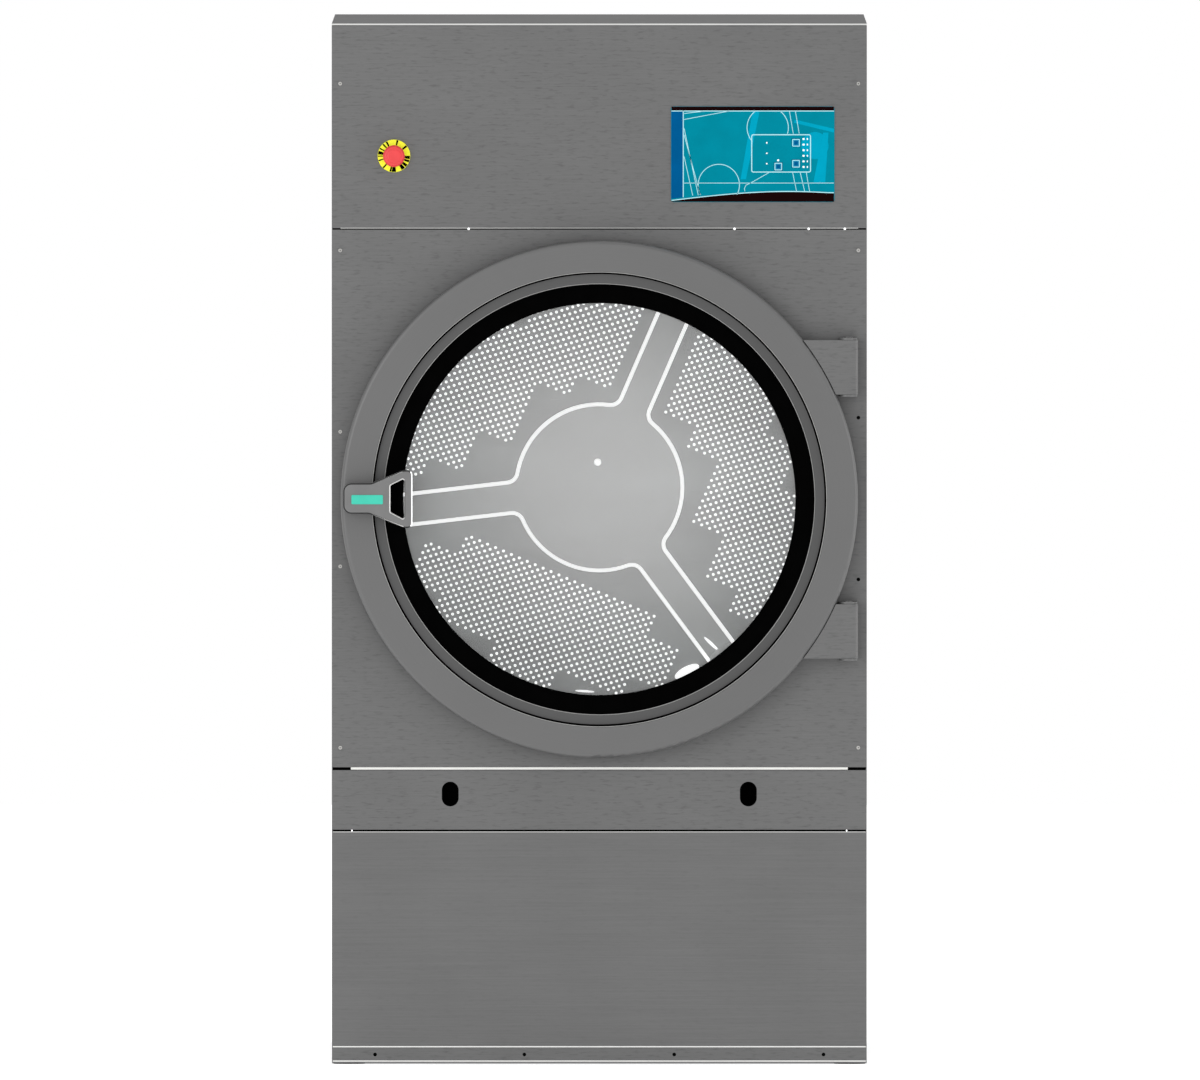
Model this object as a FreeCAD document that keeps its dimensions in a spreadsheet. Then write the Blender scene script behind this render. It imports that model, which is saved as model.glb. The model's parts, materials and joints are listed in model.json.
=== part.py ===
"""Commercial tumble dryer with a round glazed door, as a parametric FreeCAD document.

Frame: millimetres, +Z up, the front of the cabinet faces -Y and +X is to the right seen from
the front. The origin is on the floor, under the middle of the whole machine.
"""
import FreeCAD, Part
import math
import os
import Sketcher

DOC = FreeCAD.newDocument("tumble_dryer")
SHEET = DOC.addObject("Spreadsheet::Sheet", "dims")
NODES = {}
ORIGIN_POINT = (-1, 1)
UP = FreeCAD.Vector(0, 0, 1)
TURNS = {
    "X": FreeCAD.Rotation(FreeCAD.Vector(0, 1, 0), 90),
    "Y": FreeCAD.Rotation(FreeCAD.Vector(1, 0, 0), -90),
    "Z": FreeCAD.Rotation(),
}

# ---------------------------------------------------------------- driving dimensions
DIMENSIONS = {
    # cabinet
    "cab_wide": 985.0,
    "cab_deep": 1080.0,
    "cab_tall": 1916.5,
    "skin": 1.5,
    "fold": 18.0,
    "flange": 35.0,
    "strip_low": 2.0,
    "strip_top": 31.0,
    "service_low": 34.0,
    "service_top": 428.5,
    "drawer_low": 432.0,
    "drawer_top": 541.5,
    "surround_low": 547.0,
    "surround_top": 1537.0,
    "fascia_low": 1540.0,
    "fascia_top": 1912.5,
    "lip_low": 1913.5,
    "wall": 2.0,
    "tube_side": 40.0,
    "foot_rad": 29.0,
    "foot_out": 461.0,
    "foot_back": 505.0,
    "screw_out": 477.0,
    "screw_bore": 2.3,
    "strip_screw_z": 17.7,
    "base_rim_wide": 60.0,
    "gland_x": 330.0,
    "gland_z": 1650.0,
    "gland_bore": 8.0,
    "post_x": 432.0,
    "post_y": 340.0,
    # drum and its casing
    "drum_z": 1041.5,
    "drum_rad": 440.0,
    "drum_front": -485.0,
    "drum_rear": 275.0,
    "mouth_rad": 394.0,
    "collar_rad": 386.0,
    "casing_rad": 465.0,
    "casing_front": -500.0,
    "casing_rear": 330.0,
    "hub_rad": 158.0,
    "arm_wide": 64.0,
    "star_bevel": 7.0,
    "star_deep": 10.0,
    "lifter_tip": 372.0,
    "shaft_rad": 22.5,
    "shaft_fit": 0.05,
    # belt drive
    "drum_wheel": 210.0,
    "drum_wheel_y": 450.0,
    "belt_wide": 20.0,
    "belt_thick": 5.0,
    "belt_gap": 0.4,
    "idler_x": -235.0,
    "idler_z": 671.5,
    "idler_small": 35.0,
    "idler_big": 150.0,
    "idler_big_y": 488.0,
    "idler_shaft": 10.0,
    "motor_x": 120.0,
    "motor_z": 470.0,
    "motor_wheel": 30.0,
    "motor_rad": 68.0,
    # fan and air path
    "fan_x": -150.0,
    "fan_y": -100.0,
    "fan_z": 215.0,
    "fan_rad": 160.0,
    "fan_wide": 120.0,
    "vane_rad": 132.0,
    "outlet_tall": 140.0,
    "duct_side": 208.0,
    "spigot_rad": 100.0,
    "spigot_out": 80.0,
    # door
    "ring_rad": 476.0,
    "step_rad": 418.0,
    "seal_rad": 394.5,
    "sight_rad": 361.0,
    "door_proud": 48.0,
    "door_gap": 10.0,
    "step_deep": 14.0,
    "glass_rad": 372.0,
    "glass_thick": 5.0,
    "hinge_x": 458.0,
    "hinge_out": 29.0,
    "hinge_apart": 243.0,
    "block_tall": 100.0,
    "ear_thick": 3.5,
    "pin_rad": 5.0,
    "handle_proud": 80.0,
    "magnet_rise": 80.0,
    # lint drawer
    "tray_half": 430.0,
    "tray_long": 490.0,
    "finger_x": 274.5,
    "finger_z": 497.6,
    "finger_wide": 31.0,
    "finger_tall": 45.5,
    "cup_deep": 24.0,
    "tray_low": 441.0,
    "tray_top": 532.0,
    # controls
    "stop_x": -378.0,
    "stop_z": 1673.0,
    "stop_ring": 30.0,
    "stop_head": 20.0,
    "stop_neck": 11.0,
    "stop_rod": 8.0,
    "overlay_left": 132.0,
    "overlay_low": 1588.0,
    "overlay_wide": 301.0,
    "overlay_tall": 176.0,
    "key_side": 15.0,
    "key_gap": 0.4,
    "key_right_x": 362.2,
    "key_left_x": 329.5,
    "key_up_z": 1697.1,
    "key_down_z": 1658.6,
    "key_start_z": 1653.3,
}


class Size:
    """A length that carries its number and the sheet formula that drives it."""

    def __init__(self, value, formula):
        self.value = value
        self.formula = formula

    def joined(self, other, sign, value):
        return Size(value, f"({self.formula} {sign} {formula_of(other)})")

    def __add__(self, other):
        return self.joined(other, "+", self.value + value_of(other))

    def __sub__(self, other):
        return self.joined(other, "-", self.value - value_of(other))

    def __mul__(self, other):
        return self.joined(other, "*", self.value * value_of(other))

    def __truediv__(self, other):
        return self.joined(other, "/", self.value / value_of(other))

    def __neg__(self):
        return self * -1

    __radd__ = __add__
    __rmul__ = __mul__

    def __rsub__(self, other):
        return -self + other


def value_of(size):
    return size.value if isinstance(size, Size) else float(size)


def formula_of(size):
    return size.formula if isinstance(size, Size) else f"{float(size):.6f}"


class Sizes:
    """The sheet's aliases as attributes, each a Size."""

    def __init__(self, dimensions):
        for row, (alias, value) in enumerate(dimensions.items(), start=1):
            SHEET.set(f"A{row}", alias)
            SHEET.set(f"B{row}", str(value))
            SHEET.setAlias(f"B{row}", alias)
            setattr(self, alias, Size(value, f"dims.{alias}"))


D = Sizes(DIMENSIONS)
DOC.recompute()

# ---------------------------------------------------------------- places worked out once
HALF = D.cab_wide / 2
FRONT = -D.cab_deep / 2
REAR = D.cab_deep / 2
FRONT_IN = FRONT + D.skin
FRAME_FACE = FRONT + D.fold + 3
POST_FACE = FRAME_FACE + D.skin
POST_BACK = FRONT + 39
INSIDE = HALF - D.skin
DOOR_FACE = FRONT - D.door_proud
DOOR_BACK = FRONT - D.door_gap
STEP_FACE = DOOR_FACE + D.step_deep
HINGE_Y = FRONT - D.hinge_out
GLASS_FACE = DOOR_FACE + 19
STAR_FACE = D.drum_rear - D.skin - D.star_deep
FAN_TOP = D.fan_z + D.fan_rad
DUCT_Z = FAN_TOP - D.outlet_tall / 2
KEYS = {
    "key_up": (D.key_right_x, D.key_up_z),
    "key_down": (D.key_right_x, D.key_down_z),
    "key_start": (D.key_left_x, D.key_start_z),
}
LAMP_X = 308.3
LAMP_HEIGHTS = (1697.1, 1677.8, 1658.6)
ARM_ANGLES = (66.6, 186.6, 306.6)
SIDES = (-1, 1)
SCREW_HEIGHTS = {-1: (1806, 1499, 1165, 917, 583), 1: (1806, 1499, 583)}
OPEN_HOLE_HEIGHTS = (1191, 893)
BADGE_THICK = 1.0
BASE_BAR_PLACES = (-200, 0, 340)
STRIP_SCREWS = (-413, -138, 138, 413)
RAIL_HEIGHTS = ((1518, 1558), (549, 572), (400, 425), (1872, 1905))
SLOT_COLUMNS = (-215, -5)
SLOT_WIDE = 190
SLOT_TALL = 9
SLOT_STEP = 22
SLOT_ROWS = 9
SLOT_LOW = 1560


# ---------------------------------------------------------------- building helpers
def place(item, x=0, y=0, z=0, turn=None):
    """Put an object at x, y, z with its base point bound to the sheet."""
    if turn is not None:
        item.Placement = FreeCAD.Placement(FreeCAD.Vector(), turn)
    for letter, size in zip("xyz", (x, y, z)):
        item.setExpression(f"Placement.Base.{letter}", formula_of(size))
    return item


def bind(item, **sizes):
    for name, size in sizes.items():
        item.setExpression(name, formula_of(size))
    return item


def box(name, x, y, z):
    """A box from three (low, high) pairs."""
    item = DOC.addObject("Part::Box", name)
    bind(item, Length=x[1] - x[0], Width=y[1] - y[0], Height=z[1] - z[0])
    return place(item, x[0], y[0], z[0])


def rod(name, axis, x, y, z, radius, length):
    """A cylinder that starts at x, y, z and runs along the positive axis."""
    item = DOC.addObject("Part::Cylinder", name)
    bind(item, Radius=radius, Height=length)
    return place(item, x, y, z, TURNS[axis])


def joined(name, items):
    item = DOC.addObject("Part::MultiFuse", name)
    item.Shapes = items
    item.Refine = True
    return item


def without(name, base, tools):
    """The base with the tools cut away."""
    tool = tools[0] if len(tools) == 1 else joined(name + "_tools", tools)
    item = DOC.addObject("Part::Cut", name)
    item.Base = base
    item.Tool = tool
    item.Refine = True
    return item


def tube(name, axis, x, y, z, outer, inner, length):
    outside = rod(name + "_outside", axis, x, y, z, outer, length)
    inside = rod(name + "_inside", axis, x, y, z, inner, length)
    return without(name, outside, [inside])


def hollow_box(name, x, y, z, wall, open_sides=""):
    """A sheet box; open_sides names the sides left open, such as '-y' or '+z'."""
    inner = []
    for letter, (low, high) in zip("xyz", (x, y, z)):
        low_end = low - 1 if "-" + letter in open_sides else low + wall
        high_end = high + 1 if "+" + letter in open_sides else high - wall
        inner.append((low_end, high_end))
    outside = box(name + "_outside", x, y, z)
    inside = box(name + "_inside", *inner)
    return without(name, outside, [inside])


def obround(name, x, y, z, wide, tall, deep):
    """An upright slot form along +Y, centred on x and z, rounded at the top and the bottom."""
    rise = (tall - wide) / 2
    middle = box(name + "_middle", (x - wide / 2, x + wide / 2), (y, y + deep), (z - rise, z + rise))
    ends = [rod(f"{name}_end", "Y", x, y, z + side * rise, wide / 2, deep) for side in SIDES]
    return joined(name, [middle] + ends)


def group(name, items):
    """Several separate solids that share one node."""
    item = DOC.addObject("Part::Compound", name)
    item.Links = items
    return item


def origin_plane(body, role):
    return next(plane for plane in body.Origin.OriginFeatures if plane.Role == role)


def new_sketch(body, role, name):
    sketch = body.newObject("Sketcher::SketchObject", name)
    sketch.AttachmentSupport = (origin_plane(body, role), [""])
    sketch.MapMode = "FlatFace"
    return sketch


def pin_point(sketch, geometry, point, across, up):
    """Hold one point of a sketch at bound distances from the sketch's origin."""
    for kind, size in (("DistanceX", across), ("DistanceY", up)):
        index = sketch.addConstraint(
            Sketcher.Constraint(kind, *ORIGIN_POINT, geometry, point, value_of(size))
        )
        sketch.setExpression(f"Constraints[{index}]", formula_of(size))


def add_polygon(sketch, corners):
    """A closed outline of straight lines through bound corners."""
    points = [FreeCAD.Vector(value_of(across), value_of(up), 0) for across, up in corners]
    first = sketch.GeometryCount
    count = len(points)
    for index in range(count):
        sketch.addGeometry(Part.LineSegment(points[index], points[(index + 1) % count]), False)
    for index in range(count):
        following = first + (index + 1) % count
        sketch.addConstraint(Sketcher.Constraint("Coincident", first + index, 2, following, 1))
    for index, (across, up) in enumerate(corners):
        pin_point(sketch, first + index, 1, across, up)


def turned(name, outline, x=0, z=0, corner_radii=None):
    """A body turned about the Y axis from (radius, y) corners, moved to x and z.

    corner_radii maps an outline corner's index to the radius that rounds it.
    """
    body = DOC.addObject("PartDesign::Body", name)
    sketch = new_sketch(body, "XY_Plane", name + "_section")
    add_polygon(sketch, outline)
    turn = body.newObject("PartDesign::Revolution", name + "_turn")
    turn.Profile = sketch
    turn.ReferenceAxis = (sketch, ["V_Axis"])
    turn.Angle = 360
    sketch.Visibility = False
    DOC.recompute()
    for order, (corner, radius) in enumerate((corner_radii or {}).items()):
        wanted = [value_of(size) for size in outline[corner]]
        edges = [
            f"Edge{index}"
            for index, edge in enumerate(body.Shape.Edges, start=1)
            if isinstance(edge.Curve, Part.Circle)
            and abs(edge.Curve.Radius - wanted[0]) < 0.01
            and abs(edge.Curve.Center.y - wanted[1]) < 0.01
        ]
        base = body.Tip
        fillet = body.newObject("PartDesign::Fillet", f"{name}_round{order}")
        fillet.Base = (base, edges)
        fillet.setExpression("Radius", formula_of(radius))
        DOC.recompute()
    return place(body, x, 0, z)


def padded(name, draw, y, deep):
    """A body drawn in the X-Z plane by draw(sketch) and padded from y towards +Y."""
    body = DOC.addObject("PartDesign::Body", name)
    sketch = new_sketch(body, "XZ_Plane", name + "_outline")
    draw(sketch)
    pad = body.newObject("PartDesign::Pad", name + "_pad")
    pad.Profile = sketch
    pad.setExpression("Length", formula_of(deep))
    pad.Reversed = True
    sketch.Visibility = False
    return place(body, 0, y, 0)


def rounded_upright_edges(name, base, radius, choose):
    """Fillet the edges along Y whose x, z pass the choose test."""
    DOC.recompute()
    chosen = []
    for index, edge in enumerate(base.Shape.Edges, start=1):
        ends = [vertex.Point for vertex in edge.Vertexes]
        along_y = len(ends) == 2 and abs((ends[0] - ends[1]).x) + abs((ends[0] - ends[1]).z) < 1e-4
        if along_y and choose(ends[0].x, ends[0].z):
            chosen.append((index, radius, radius))
    item = DOC.addObject("Part::Fillet", name)
    item.Base = base
    item.Edges = chosen
    return item


def node(name, item):
    """Register a finished sub-part under its node name."""
    item.Label = name
    NODES[name] = item
    return item


# ---------------------------------------------------------------- cabinet
def front_tray(name, low, top, cutters):
    """A folded front panel: a flat face with four returned edges, open at the back."""
    tray = hollow_box(
        name + "_tray",
        (-HALF, HALF),
        (FRONT, FRONT + D.fold),
        (low, top),
        D.skin,
        open_sides="+y",
    )
    return without(name, tray, cutters) if cutters else tray


def front_bore(name, x, z, radius):
    """A cutter for a round hole in a front panel's face."""
    return rod(name, "Y", x, FRONT - 1, z, radius, 10)


def screw_holes(low, top):
    """Clearance holes for the panel screws whose height lies between low and top."""
    holes = []
    for side, heights in SCREW_HEIGHTS.items():
        for height in heights:
            if value_of(low) < height < value_of(top):
                holes.append(front_bore("screw_hole", side * D.screw_out, height, D.screw_bore))
    return holes


def make_base_frame():
    shell = hollow_box(
        "base_rim",
        (-HALF, HALF),
        (FRONT, REAR),
        (D.strip_low, D.strip_top),
        D.wall,
        open_sides="-z",
    )
    rim = D.base_rim_wide
    inside = box("base_well", (rim - HALF, HALF - rim), (FRONT + rim, REAR - rim), (0, 60))
    holes = [front_bore("strip_hole", x, D.strip_screw_z, D.screw_bore) for x in STRIP_SCREWS]
    across = (-HALF + D.wall, HALF - D.wall)
    bars = [
        box("base_bar", across, (y, y + D.tube_side), (10, D.strip_top)) for y in BASE_BAR_PLACES
    ]
    troughs = [
        box("bar_trough", across, (y + 3, y + D.tube_side - 3), (9, D.strip_top - 3))
        for y in BASE_BAR_PLACES
    ]
    corners = []
    bores = []
    for side in SIDES:
        x = side * D.foot_out
        x_low, x_high = (x - 30, HALF - D.wall) if side > 0 else (-HALF + D.wall, x + 30)
        for end in SIDES:
            y = end * D.foot_back
            y_low, y_high = (y - 30, REAR - D.wall) if end > 0 else (FRONT + D.wall, y + 30)
            corners.append(box("foot_plate", (x_low, x_high), (y_low, y_high), (20, 24)))
            bores.append(rod("foot_bore", "Z", x, y, 0, 6.3, 60))
    body = joined("base_parts", [shell] + bars + corners)
    opening = without("base_opening", inside, bars)
    return without("base_frame", body, [opening] + troughs + holes + bores)


def make_levelling_feet():
    feet = []
    for side in SIDES:
        for end in SIDES:
            x, y = side * D.foot_out, end * D.foot_back
            parts = [
                rod("foot_disc", "Z", x, y, 0, D.foot_rad, 9),
                rod("foot_stud", "Z", x, y, 8, 6, 21),
                rod("foot_nut", "Z", x, y, 12, 10, 8),
            ]
            feet.append(joined("foot", parts))
    return group("levelling_feet", feet)


def make_side_panel(side):
    """A side sheet with a wide front return and a narrow rear one."""
    name = "side_panel_right" if side > 0 else "side_panel_left"
    tall = (D.strip_top, D.lip_low - 1.5)
    outer, inner = side * HALF, side * INSIDE
    face = box(name + "_face", ordered(outer, inner), (FRAME_FACE, REAR), tall)
    lip_in = side * (HALF - D.flange)
    front = box(name + "_return", ordered(outer, lip_in), (FRAME_FACE, POST_FACE), tall)
    rear_in = side * (HALF - 20)
    rear = box(name + "_rear", ordered(outer, rear_in), (REAR - 2 * D.skin, REAR - D.skin), tall)
    return joined(name, [face, front, rear])


def ordered(first, second):
    return (first, second) if value_of(first) < value_of(second) else (second, first)


def make_top_panel():
    return hollow_box(
        "top_panel", (-HALF, HALF), (FRONT, REAR), (D.lip_low, D.cab_tall), D.skin, open_sides="-z"
    )


def make_rear_panel():
    sheet = box("rear_sheet", (-INSIDE, INSIDE), (REAR - D.skin, REAR), (D.strip_top, D.lip_low - 1.5))
    cutters = [rod("spigot_hole", "Y", D.fan_x, REAR - 5, DUCT_Z, D.spigot_rad + 1.5, 10)]
    cutters.append(rod("gland_hole", "Y", D.gland_x, REAR - 5, D.gland_z, 12.3, 10))
    for column in SLOT_COLUMNS:
        across = (column, column + SLOT_WIDE)
        for row in range(SLOT_ROWS):
            z = SLOT_LOW + SLOT_STEP * row
            cutters.append(box("air_slot", across, (REAR - 5, REAR + 5), (z, z + SLOT_TALL)))
    return without("rear_panel", sheet, cutters)


def make_front_frame():
    """Two posts and four rails behind the front panels."""
    parts = []
    for side in SIDES:
        post = ordered(side * (INSIDE - 2), side * (HALF - D.flange - 3))
        tall = (D.strip_top, D.lip_low - 3)
        parts.append(hollow_box("front_post", post, (POST_FACE, POST_BACK), tall, 2, "+y"))
    across = (-(HALF - D.flange) - 3, HALF - D.flange + 3)
    for low, top in RAIL_HEIGHTS:
        parts.append(
            hollow_box("front_rail", across, (POST_FACE, POST_BACK), (low, top), 2, "+y-x+x")
        )
    return joined("front_frame", parts)


def make_control_fascia():
    cutters = screw_holes(D.fascia_low, D.fascia_top)
    cutters.append(front_bore("stop_hole", D.stop_x, D.stop_z, D.stop_neck + 0.3))
    cutters.append(box("keypad_window", (282, 388), (FRONT - 1, FRONT + 9), (1645, 1711)))
    return front_tray("control_fascia", D.fascia_low, D.fascia_top, cutters)


def make_door_surround():
    cutters = screw_holes(D.surround_low, D.surround_top)
    cutters.append(front_bore("door_hole", 0, D.drum_z, D.collar_rad + 2))
    for height in OPEN_HOLE_HEIGHTS:
        cutters.append(front_bore("open_hole", D.screw_out, height, D.screw_bore))
    return front_tray("door_surround", D.surround_low, D.surround_top, cutters)


def make_service_panel():
    return front_tray("service_panel", D.service_low, D.service_top, [])


def make_panel_screws():
    screws = []
    for side, heights in SCREW_HEIGHTS.items():
        for height in heights:
            x = side * D.screw_out
            head = rod("screw_head", "Y", x, FRONT - 1.4, height, 3.4, 1.4)
            shank = rod("screw_shank", "Y", x, FRONT - 1, height, 2, 14)
            screws.append(joined("screw", [head, shank]))
    return group("panel_screws", screws)


# ---------------------------------------------------------------- controls
def key_outline(x, z, margin, y, deep, name):
    reach = D.key_side / 2 + margin
    return box(name, (x - reach, x + reach), (y, y + deep), (z - reach, z + reach))


def make_control_overlay():
    x = (D.overlay_left, D.overlay_left + D.overlay_wide)
    z = (D.overlay_low, D.overlay_low + D.overlay_tall)
    sheet = box("overlay_sheet", x, (FRONT - D.skin, FRONT), z)
    sheet = rounded_upright_edges("overlay_rounded", sheet, 5, lambda px, pz: True)
    cutters = [
        key_outline(x, z, D.key_gap, FRONT - 3, 6, name + "_window")
        for name, (x, z) in KEYS.items()
    ]
    cutters += [rod("lamp_window", "Y", LAMP_X, FRONT - 3, z, 1.8, 6) for z in LAMP_HEIGHTS]
    return without("control_overlay", sheet, cutters)


def make_control_board():
    """The circuit board with its switches, lamps and four stand-offs."""
    board_y = FRONT + 8
    lamp_y = FRONT - D.skin - 0.3
    parts = [box("board_plate", (240, 420), (board_y, board_y + 1.6), (1622, 1734))]
    for x in (248, 412):
        for z in (1630, 1726):
            parts.append(rod("stand_off", "Y", x, FRONT_IN, z, 3.5, board_y - FRONT_IN))
    for x, z in KEYS.values():
        parts.append(rod("switch", "Y", x, board_y - 3, z, 3, 3))
    for z in LAMP_HEIGHTS:
        parts.append(rod("lamp", "Y", LAMP_X, lamp_y, z, 1.5, board_y - lamp_y))
    parts.append(box("board_chip", (330, 352), (board_y + 1.6, board_y + 5), (1690, 1712)))
    parts.append(box("board_plug", (395, 405), (board_y + 1.6, board_y + 14), (1660, 1700)))
    return joined("control_board", parts)


def make_key(name):
    x, z = KEYS[name]
    cap = key_outline(x, z, 0, FRONT - D.skin - 0.8, 5, name + "_cap")
    return rounded_upright_edges(name, cap, 1, lambda px, pz: True)


def make_stop_ring():
    return tube(
        "estop_ring", "Y", D.stop_x, FRONT - 3, D.stop_z, D.stop_ring, D.stop_neck + 0.3, 3
    )


def make_stop_housing():
    """The neck through the fascia, its collar and the contact block behind."""
    neck = rod("stop_tube", "Y", D.stop_x, FRONT - 6, D.stop_z, D.stop_neck, 26)
    collar = rod("stop_collar", "Y", D.stop_x, FRONT - 6, D.stop_z, D.stop_neck + 4, 3)
    x = (D.stop_x - 20, D.stop_x + 20)
    z = (D.stop_z - 24, D.stop_z + 24)
    block = box("stop_block", x, (FRONT_IN, FRONT + 60), z)
    bore = rod("stop_bore", "Y", D.stop_x, FRONT - 7, D.stop_z, D.stop_rod + 0.3, 50)
    return without("estop_housing", joined("stop_body", [neck, collar, block]), [bore])


def make_stop_plunger():
    shaft = rod("stop_rod", "Y", D.stop_x, FRONT - 16, D.stop_z, D.stop_rod, 44)
    peg = rod("stop_peg", "Y", D.stop_x, FRONT - 26, D.stop_z, 5, 11)
    return joined("estop_plunger", [shaft, peg])


def make_stop_head():
    face = FRONT - 32
    outline = [
        (5.05, face + 5),
        (5.05, face + 15.7),
        (D.stop_head - 3, face + 15.7),
        (D.stop_head, face + 12),
        (D.stop_head, face + 6),
        (D.stop_head - 3, face + 1.6),
        (D.stop_head - 10, face),
        (0.001, face),
        (0.001, face + 5),
    ]
    return turned("estop_head", outline, D.stop_x, D.stop_z, {5: 1.5})


def make_electrical_box():
    return hollow_box("switchgear_box", (-INSIDE, -350), (-420, -120), (1560, 1860), D.skin)


def make_cable_gland():
    """The supply cable's gland in the rear panel; its bore is open right through."""
    x, z = D.gland_x, D.gland_z
    body = rod("gland_body", "Y", x, REAR - 20, z, 12, 40)
    nut = rod("gland_nut", "Y", x, REAR, z, 17, 8)
    cap = rod("gland_cap", "Y", x, REAR + 12, z, 15, 14)
    lock = rod("gland_lock", "Y", x, REAR - D.skin - 7, z, 17, 7)
    bore = rod("gland_bore", "Y", x, REAR - 25, z, D.gland_bore, 60)
    return without("cable_gland", joined("gland_parts", [body, nut, cap, lock]), [bore])


# ---------------------------------------------------------------- door
def make_door_ring():
    """The pressed outer ring: a rounded channel that opens to the back."""
    edge = D.wall
    outline = [
        (D.step_rad, DOOR_FACE),
        (D.ring_rad, DOOR_FACE),
        (D.ring_rad, DOOR_BACK),
        (D.ring_rad - edge, DOOR_BACK),
        (D.ring_rad - edge, DOOR_FACE + edge),
        (D.step_rad + edge, DOOR_FACE + edge),
        (D.step_rad + edge, STEP_FACE),
        (D.step_rad, STEP_FACE),
    ]
    return turned("door_ring", outline, 0, D.drum_z, {1: 7, 4: 5, 0: 1.8})


def make_door_inner_ring():
    """The recessed ring, its wall around the seal and the pan that closes the door's back."""
    wall_rad = D.seal_rad + 1.5
    outline = [
        (wall_rad, STEP_FACE),
        (D.step_rad + D.wall, STEP_FACE),
        (D.step_rad + D.wall, STEP_FACE + D.wall),
        (wall_rad + D.wall, STEP_FACE + D.wall),
        (wall_rad + D.wall, DOOR_BACK - D.wall),
        (D.ring_rad - D.wall, DOOR_BACK - D.wall),
        (D.ring_rad - D.wall, DOOR_BACK),
        (wall_rad, DOOR_BACK),
    ]
    return turned("door_inner_ring", outline, 0, D.drum_z)


def make_glass_seal():
    """The rubber section that grips the glass: a bulged front lip and a slot."""
    outer = D.seal_rad + 1.5
    slot_in = D.glass_rad + 1
    back = DOOR_BACK - 4
    outline = [
        (D.sight_rad, GLASS_FACE),
        (D.sight_rad + 1.5, GLASS_FACE - 6),
        (D.sight_rad + 8, DOOR_FACE + 8),
        (D.seal_rad - 8, DOOR_FACE + 8),
        (D.seal_rad - 1.5, DOOR_FACE + 11),
        (outer, STEP_FACE + 1),
        (outer, back),
        (D.sight_rad, back),
        (D.sight_rad, GLASS_FACE + D.glass_thick),
        (slot_in, GLASS_FACE + D.glass_thick),
        (slot_in, GLASS_FACE),
    ]
    return turned("glass_seal", outline, 0, D.drum_z, {2: 5, 3: 5})


def make_door_glass():
    return rod("door_glass", "Y", 0, GLASS_FACE, D.drum_z, D.glass_rad, D.glass_thick)


def make_door_gasket():
    """The soft lip on the door's back that meets the front panel."""
    outline = [
        (406, DOOR_BACK),
        (424, DOOR_BACK),
        (428, FRONT - 3),
        (430, FRONT - 0.6),
        (426, FRONT - 0.6),
        (418, DOOR_BACK + 3),
        (406, DOOR_BACK + 3),
    ]
    return turned("door_gasket", outline, 0, D.drum_z)


def hinge_heights():
    return [D.drum_z + side * D.hinge_apart for side in SIDES]


def make_hinge_arms():
    """Two blocks beside the ring, each bored for its pin."""
    arms = []
    for centre in hinge_heights():
        z = (centre - D.block_tall / 2, centre + D.block_tall / 2)
        block = box("hinge_block", (366, D.ring_rad), (DOOR_FACE + 2, HINGE_Y + 17), z)
        rounded = rounded_upright_z("hinge_block_round", block, 6)
        bore_rad = D.pin_rad + 0.05
        bore = rod("hinge_bore", "Z", D.hinge_x, HINGE_Y, z[0] - 1, bore_rad, D.block_tall + 2)
        ring_room = rod("ring_room", "Y", 0, DOOR_FACE - 5, D.drum_z, D.ring_rad + 0.2, 60)
        arms.append(without("hinge_arm", rounded, [bore, ring_room]))
    return group("hinge_arms", arms)


def rounded_upright_z(name, base, radius):
    """Round the two outer vertical edges of a hinge block."""
    DOC.recompute()
    far = base.Shape.BoundBox.XMax
    chosen = []
    for index, edge in enumerate(base.Shape.Edges, start=1):
        ends = [vertex.Point for vertex in edge.Vertexes]
        upright = abs((ends[0] - ends[1]).z) > 1 and abs(ends[0].x - far) < 0.01
        if upright and abs(ends[1].x - far) < 0.01:
            chosen.append((index, radius, radius))
    item = DOC.addObject("Part::Fillet", name)
    item.Base = base
    item.Edges = chosen
    return item


def make_hinge_brackets():
    """Two forks on the front panel: a back plate and two rounded ears each."""
    brackets = []
    for centre in hinge_heights():
        reach = D.block_tall / 2 + 0.5
        low, top = centre - reach - D.ear_thick, centre + reach + D.ear_thick
        plate_x = (D.hinge_x - 17, D.hinge_x + 17)
        parts = [box("bracket_plate", plate_x, (FRONT - 3, FRONT), (low, top))]
        bores = []
        for z in (low, centre + reach):
            parts.append(rod("ear_end", "Z", D.hinge_x, HINGE_Y, z, 17, D.ear_thick))
            parts.append(box("ear_web", plate_x, (HINGE_Y, FRONT - 1), (z, z + D.ear_thick)))
            bores.append(rod("ear_bore", "Z", D.hinge_x, HINGE_Y, z - 1, D.pin_rad, D.ear_thick + 2))
        brackets.append(without("hinge_fork", joined("fork_parts", parts), bores))
    return group("hinge_brackets", brackets)


def make_hinge_pins():
    pins = []
    for centre in hinge_heights():
        reach = D.block_tall / 2 + 0.5 + D.ear_thick
        shank = rod("pin_shank", "Z", D.hinge_x, HINGE_Y, centre - reach, D.pin_rad, reach * 2)
        head = rod("pin_head", "Z", D.hinge_x, HINGE_Y, centre + reach, D.pin_rad + 2.5, 2)
        pins.append(joined("hinge_pin", [shank, head]))
    return group("hinge_pins", pins)


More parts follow.
